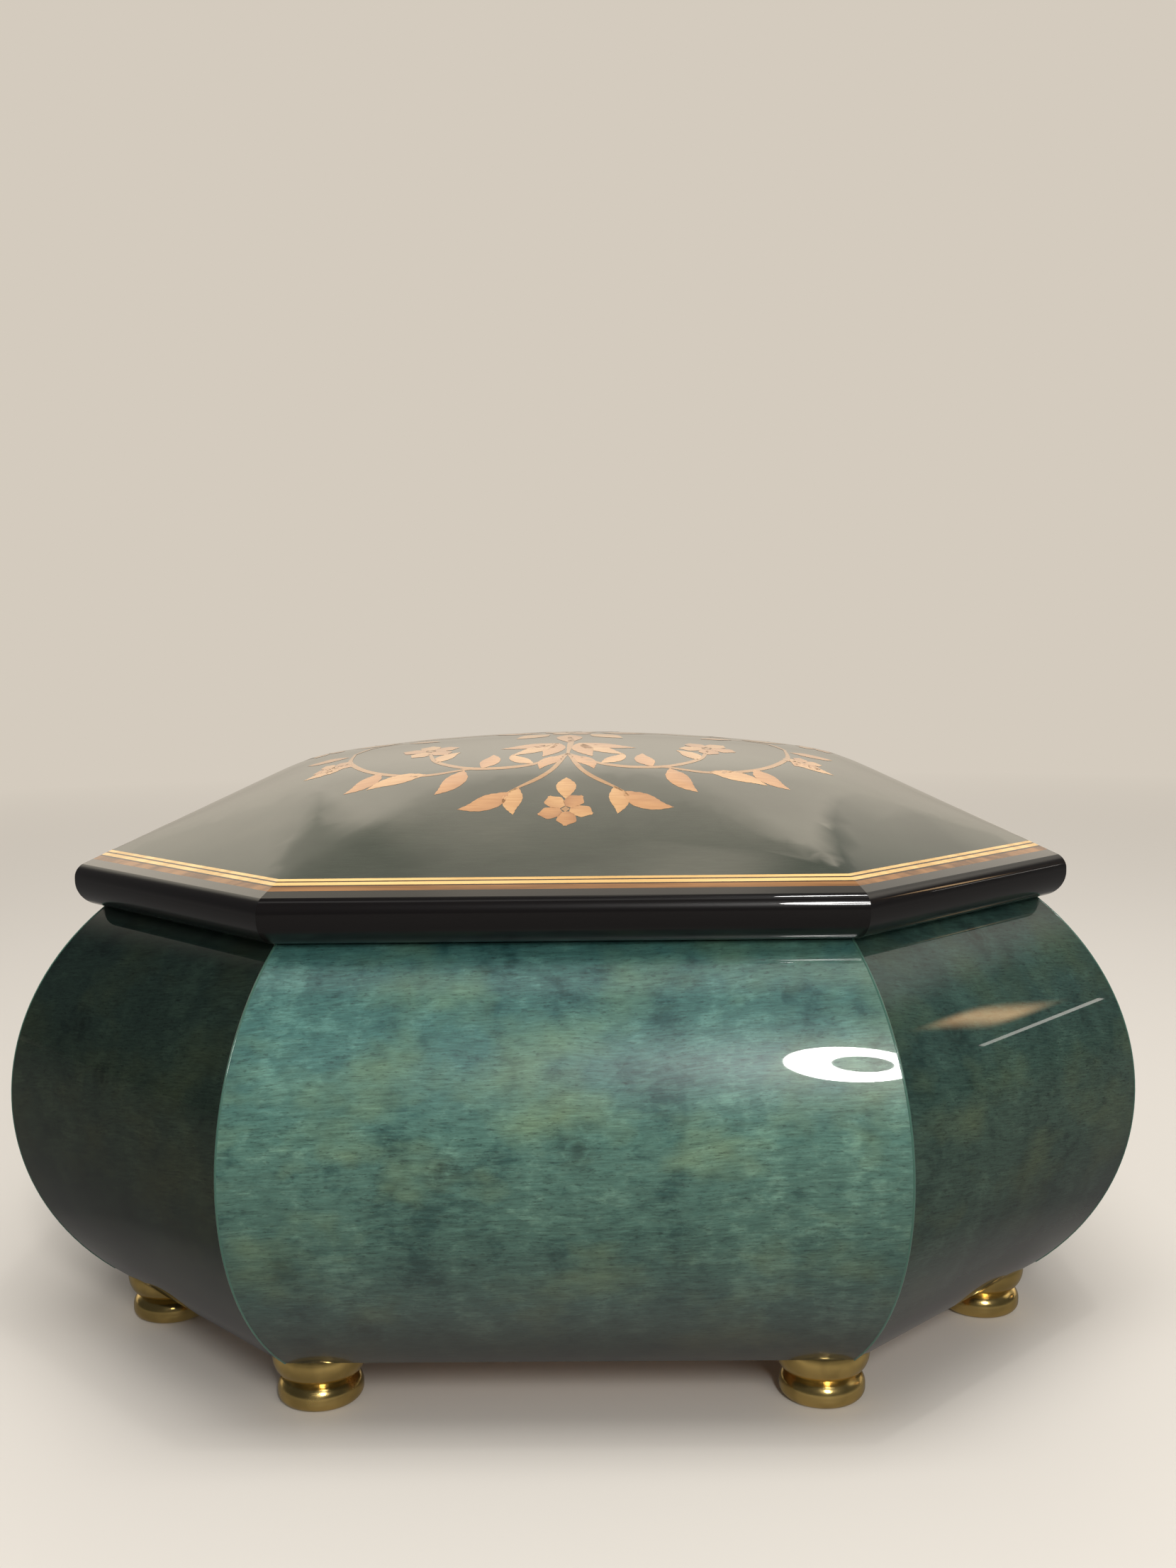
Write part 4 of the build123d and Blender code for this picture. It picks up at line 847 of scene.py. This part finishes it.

# Floor: it runs into the backdrop's colour far off, and gloss sees a painted reflection on it
PALE = rgb(212, 203, 190)
DIM = (0.05, 0.052, 0.055, 1)
FLOOR_REACH = 12
floor_mesh = bpy.data.meshes.new("floor")
floor_work = bmesh.new()
bmesh.ops.create_grid(floor_work, x_segments=2, y_segments=2, size=FLOOR_REACH)
floor_work.to_mesh(floor_mesh)
floor_work.free()
floor = bpy.data.objects.new("floor", floor_mesh)
bpy.context.scene.collection.objects.link(floor)
paint = Paint("floor_paint")
paint.set(Base_Color=rgb(214, 208, 200), Roughness=0.55, Specular_IOR_Level=0.25)
rays = paint.add("ShaderNodeLightPath").outputs
far = paint.add("ShaderNodeVectorMath", operation="LENGTH")
paint.put(far.inputs[0], paint.coordinates())
distance = far.outputs["Value"]
faded = paint.math("MULTIPLY", paint.grey(distance, 0.55, 1.6), rays["Is Camera Ray"])
mirrored_share = paint.grey(distance, 0.1, 0.16, 0.55, 0.88)
painted_reflection_share = paint.math("MULTIPLY", mirrored_share, rays["Is Glossy Ray"])
heading = paint.add("ShaderNodeVectorMath", operation="NORMALIZE")
paint.put(heading.inputs[0], paint.coordinates())
behind = paint.grey(paint.split(heading.outputs[0])["Y"], 0.5, 0.9)
# Painted reflection for gloss: dim in front and at the sides, pale behind, covering less of the
# lit floor near the box
painted_reflection = paint.mix(behind, DIM, PALE)
glow = paint.add("ShaderNodeEmission")
paint.put(glow.inputs["Color"], paint.mix(rays["Is Camera Ray"], painted_reflection, PALE))
share = paint.math("MAXIMUM", faded, painted_reflection_share)
surface = paint.blend(share, paint.shader.outputs[0], glow.outputs[0])
paint.put(paint.nodes["Material Output"].inputs["Surface"], surface)
floor_mesh.materials.append(paint.material)
floor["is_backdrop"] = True

world = bpy.data.worlds.new("studio")
bpy.context.scene.world = world
world.use_nodes = True
sky = Tree(world.node_tree)


def rising(value, low, high):
    """Smooth rise from 0 to 1 between two angles in degrees."""
    return sky.grey(value, math.radians(low), math.radians(high), smooth=True)


def between(value, low, high, soft):
    """1 between two angles in degrees, falling off softly at each."""
    up = rising(value, low - soft, low + soft)
    return sky.math("MULTIPLY", up, rising(value, high + soft, high - soft))


axes = sky.split(sky.add("ShaderNodeTexCoord").outputs["Generated"])
to_front = sky.math("MULTIPLY", axes["Y"], -1.0)
elevation = sky.math("ARCSINE", axes["Z"])
from_back = sky.math("ARCTAN2", sky.math("ABSOLUTE", axes["X"]), axes["Y"])
from_front = sky.math("ARCTAN2", axes["X"], to_front)

# What gloss shows behind the box: a tall bright screen, with its top an arch and then a slope
ARCH_START = 8
ARCH_REACH = 6
ARCH_POWER = 2.1
ARCH_FALL = -3.2
ARCH_TOP = 57
SLOPE = -0.73
SLOPE_TOP = 49.7
SCREEN_TINT = (1, 0.89, 0.74)
SCREEN_LEVELS = [(0.0, 0.6), (0.15, 0.82), (0.3, 1.3), (0.5, 2.0), (0.75, 2.5), (1.0, 2.1)]
SCREEN_HEIGHT = 60
past = sky.math("SUBTRACT", from_back, math.radians(ARCH_START))
past = sky.math("DIVIDE", sky.math("MAXIMUM", past, 0.0), math.radians(ARCH_REACH))
drop = sky.math("POWER", past, ARCH_POWER)
arch = sky.math("MULTIPLY_ADD", drop, math.radians(ARCH_FALL), math.radians(ARCH_TOP))
slope = sky.math("MULTIPLY_ADD", from_back, SLOPE, math.radians(SLOPE_TOP))
below_top = sky.math("SUBTRACT", sky.math("MAXIMUM", arch, slope), elevation)
on_screen = rising(below_top, -5, 3.5)
screen_stops = [(spot, (*[level * t for t in SCREEN_TINT], 1)) for spot, level in SCREEN_LEVELS]
screen_place = sky.math("DIVIDE", elevation, math.radians(SCREEN_HEIGHT))
screen = sky.ramp(screen_place, screen_stops, smooth=False)

# Round it a dim room: paler above the screen, most of all on the left, a strip of light in
# front, and on the right a pale wash over a warm window
on_left = sky.grey(axes["X"], 0.05, -0.3, smooth=True)
above = sky.mix(on_left, (0.6, 0.57, 0.5, 1), (1.05, 0.97, 0.8, 1))
room = sky.mix(rising(from_back, 62, 40), DIM, above)
in_front = sky.grey(to_front, 0.1, 0.3, smooth=True)
strip = sky.math("MULTIPLY", between(elevation, 63.5, 72.5, 3.5), in_front)
room = sky.mix(strip, room, (0.55, 0.54, 0.52, 1))
wash = sky.math("MULTIPLY", between(from_front, 88, 128, 8), between(elevation, 27, 60, 5))
room = sky.mix(wash, room, (0.8, 0.74, 0.64, 1))
pane = sky.math(
    "MULTIPLY", between(from_front, 104.0, 105.8, 0.9), between(elevation, 13.2, 18.6, 1.2)
)
room = sky.mix(pane, room, (5.2, 3.3, 1.7, 1))


def background(node, colour, strength):
    """Light of the world in one colour."""
    sky.put(node.inputs["Color"], colour)
    sky.put(node.inputs["Strength"], strength)
    return node.outputs[0]


soft = background(sky.nodes["Background"], (1.0, 0.985, 0.96, 1), 0.42)
seen = background(sky.add("ShaderNodeBackground"), sky.mix(on_screen, room, screen), 1.0)
shown = background(sky.add("ShaderNodeBackground"), PALE, 1.0)
rays = sky.add("ShaderNodeLightPath").outputs
reflected = sky.math("MAXIMUM", rays["Is Glossy Ray"], rays["Is Transmission Ray"])
surroundings = sky.blend(reflected, soft, seen)
surface = sky.blend(rays["Is Camera Ray"], surroundings, shown)
sky.put(sky.nodes["World Output"].inputs["Surface"], surface)


def direction(azimuth, height):
    """Where a lamp stands, in degrees; azimuth 0 is in front of the box and 90 on its right."""
    a, e = math.radians(azimuth), math.radians(height)
    return Vector((math.sin(a) * math.cos(e), -math.cos(a) * math.cos(e), math.sin(e)))


def lamp(name, place, distance, target, shape, size, watts, colour, seen_in_gloss):
    """Area lamp that stands at a distance from its target, towards place, and faces it."""
    light = bpy.data.lights.new(name, "AREA")
    light.shape = shape
    light.size, light.size_y = size
    light.energy = watts
    light.color = colour
    holder = bpy.data.objects.new(name, light)
    back = direction(*place)
    holder.location = Vector(target) + back * distance
    holder.rotation_mode = "QUATERNION"
    holder.rotation_quaternion = back.to_track_quat("Z", "Y")
    holder.visible_glossy = seen_in_gloss
    bpy.context.scene.collection.objects.link(holder)


BOX_MIDDLE = (0, 0, 0.07)
KEY_SPOT = (0.056, -0.1, 0.08)
EDGE_SPOT = (0.053, -0.093, 0.099)
RIGHT_SPOT = (0.1, -0.07, 0.083)
DAYLIGHT = (1, 0.98, 0.95)
WHITE = (1, 0.99, 0.97)
WARM = (1, 0.94, 0.86)
lamp("key", (10, 31), 1.3, KEY_SPOT, "ELLIPSE", (0.13, 0.34), 6, DAYLIGHT, True)

# Dark shade in the middle of the key lamp, which gives its reflection an open centre
SHADE_DISTANCE = 1.27
SHADE_SIZE = (0.03, 0.075)
toward_key = direction(10.6, 31)
shade_mesh = bpy.data.meshes.new("key_shade")
shade_work = bmesh.new()
bmesh.ops.create_circle(shade_work, cap_ends=True, segments=48, radius=1.0)
shade_work.to_mesh(shade_mesh)
shade_work.free()
shade = bpy.data.objects.new("key_shade", shade_mesh)
shade_paint = Paint("key_shade_paint")
shade_paint.set(Base_Color=(0.01, 0.01, 0.012, 1), Roughness=1.0)
shade_mesh.materials.append(shade_paint.material)
shade.rotation_mode = "QUATERNION"
shade.rotation_quaternion = toward_key.to_track_quat("Z", "Y")
shade.location = Vector(KEY_SPOT) + toward_key * SHADE_DISTANCE
shade.scale = (*SHADE_SIZE, 1)
shade.visible_camera = False
shade.visible_diffuse = False
shade.visible_shadow = False
bpy.context.scene.collection.objects.link(shade)
shade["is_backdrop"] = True

lamp("ceiling", (36, 77), 1.4, EDGE_SPOT, "ELLIPSE", (0.12, 0.05), 1.2, WHITE, True)
lamp("shelf", (104.3, 9.7), 1.2, RIGHT_SPOT, "RECTANGLE", (0.124, 0.016), 0.02, WARM, True)
lamp("overhead", (10, 75), 1.5, BOX_MIDDLE, "RECTANGLE", (1.2, 0.8), 15, WHITE, False)
lamp("front_fill", (25, 25), 1.6, BOX_MIDDLE, "RECTANGLE", (0.8, 0.8), 6, DAYLIGHT, False)

# Camera at the photograph's viewing angle; its focal length is in pixels of the photograph
FOCAL = 2228.4
PHOTO_HEIGHT = 2212
SENSOR = 36
EYE = (0.00918, -0.41236, 0.16451)
YAW, PITCH, ROLL = -0.0117, 0.0893, 0.0116
ahead = Vector((math.sin(YAW), math.cos(YAW), 0))
forward = ahead * math.cos(PITCH) - Vector((0, 0, math.sin(PITCH)))
up_level = ahead * math.sin(PITCH) + Vector((0, 0, math.cos(PITCH)))
right_level = Vector((math.cos(YAW), -math.sin(YAW), 0))
right = right_level * math.cos(ROLL) - up_level * math.sin(ROLL)
up = right_level * math.sin(ROLL) + up_level * math.cos(ROLL)
camera_data = bpy.data.cameras.new("camera")
camera_data.sensor_width = SENSOR
camera_data.lens = FOCAL * SENSOR / PHOTO_HEIGHT
camera_data.clip_start = 0.01
camera_data.clip_end = 60
camera = bpy.data.objects.new("camera", camera_data)
bpy.context.scene.collection.objects.link(camera)
turn = Matrix((right, up, -forward)).transposed()
camera.matrix_world = Matrix.Translation(EYE) @ turn.to_4x4()
bpy.context.scene.camera = camera

bpy.context.scene.view_settings.view_transform = "Standard"

low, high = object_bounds()
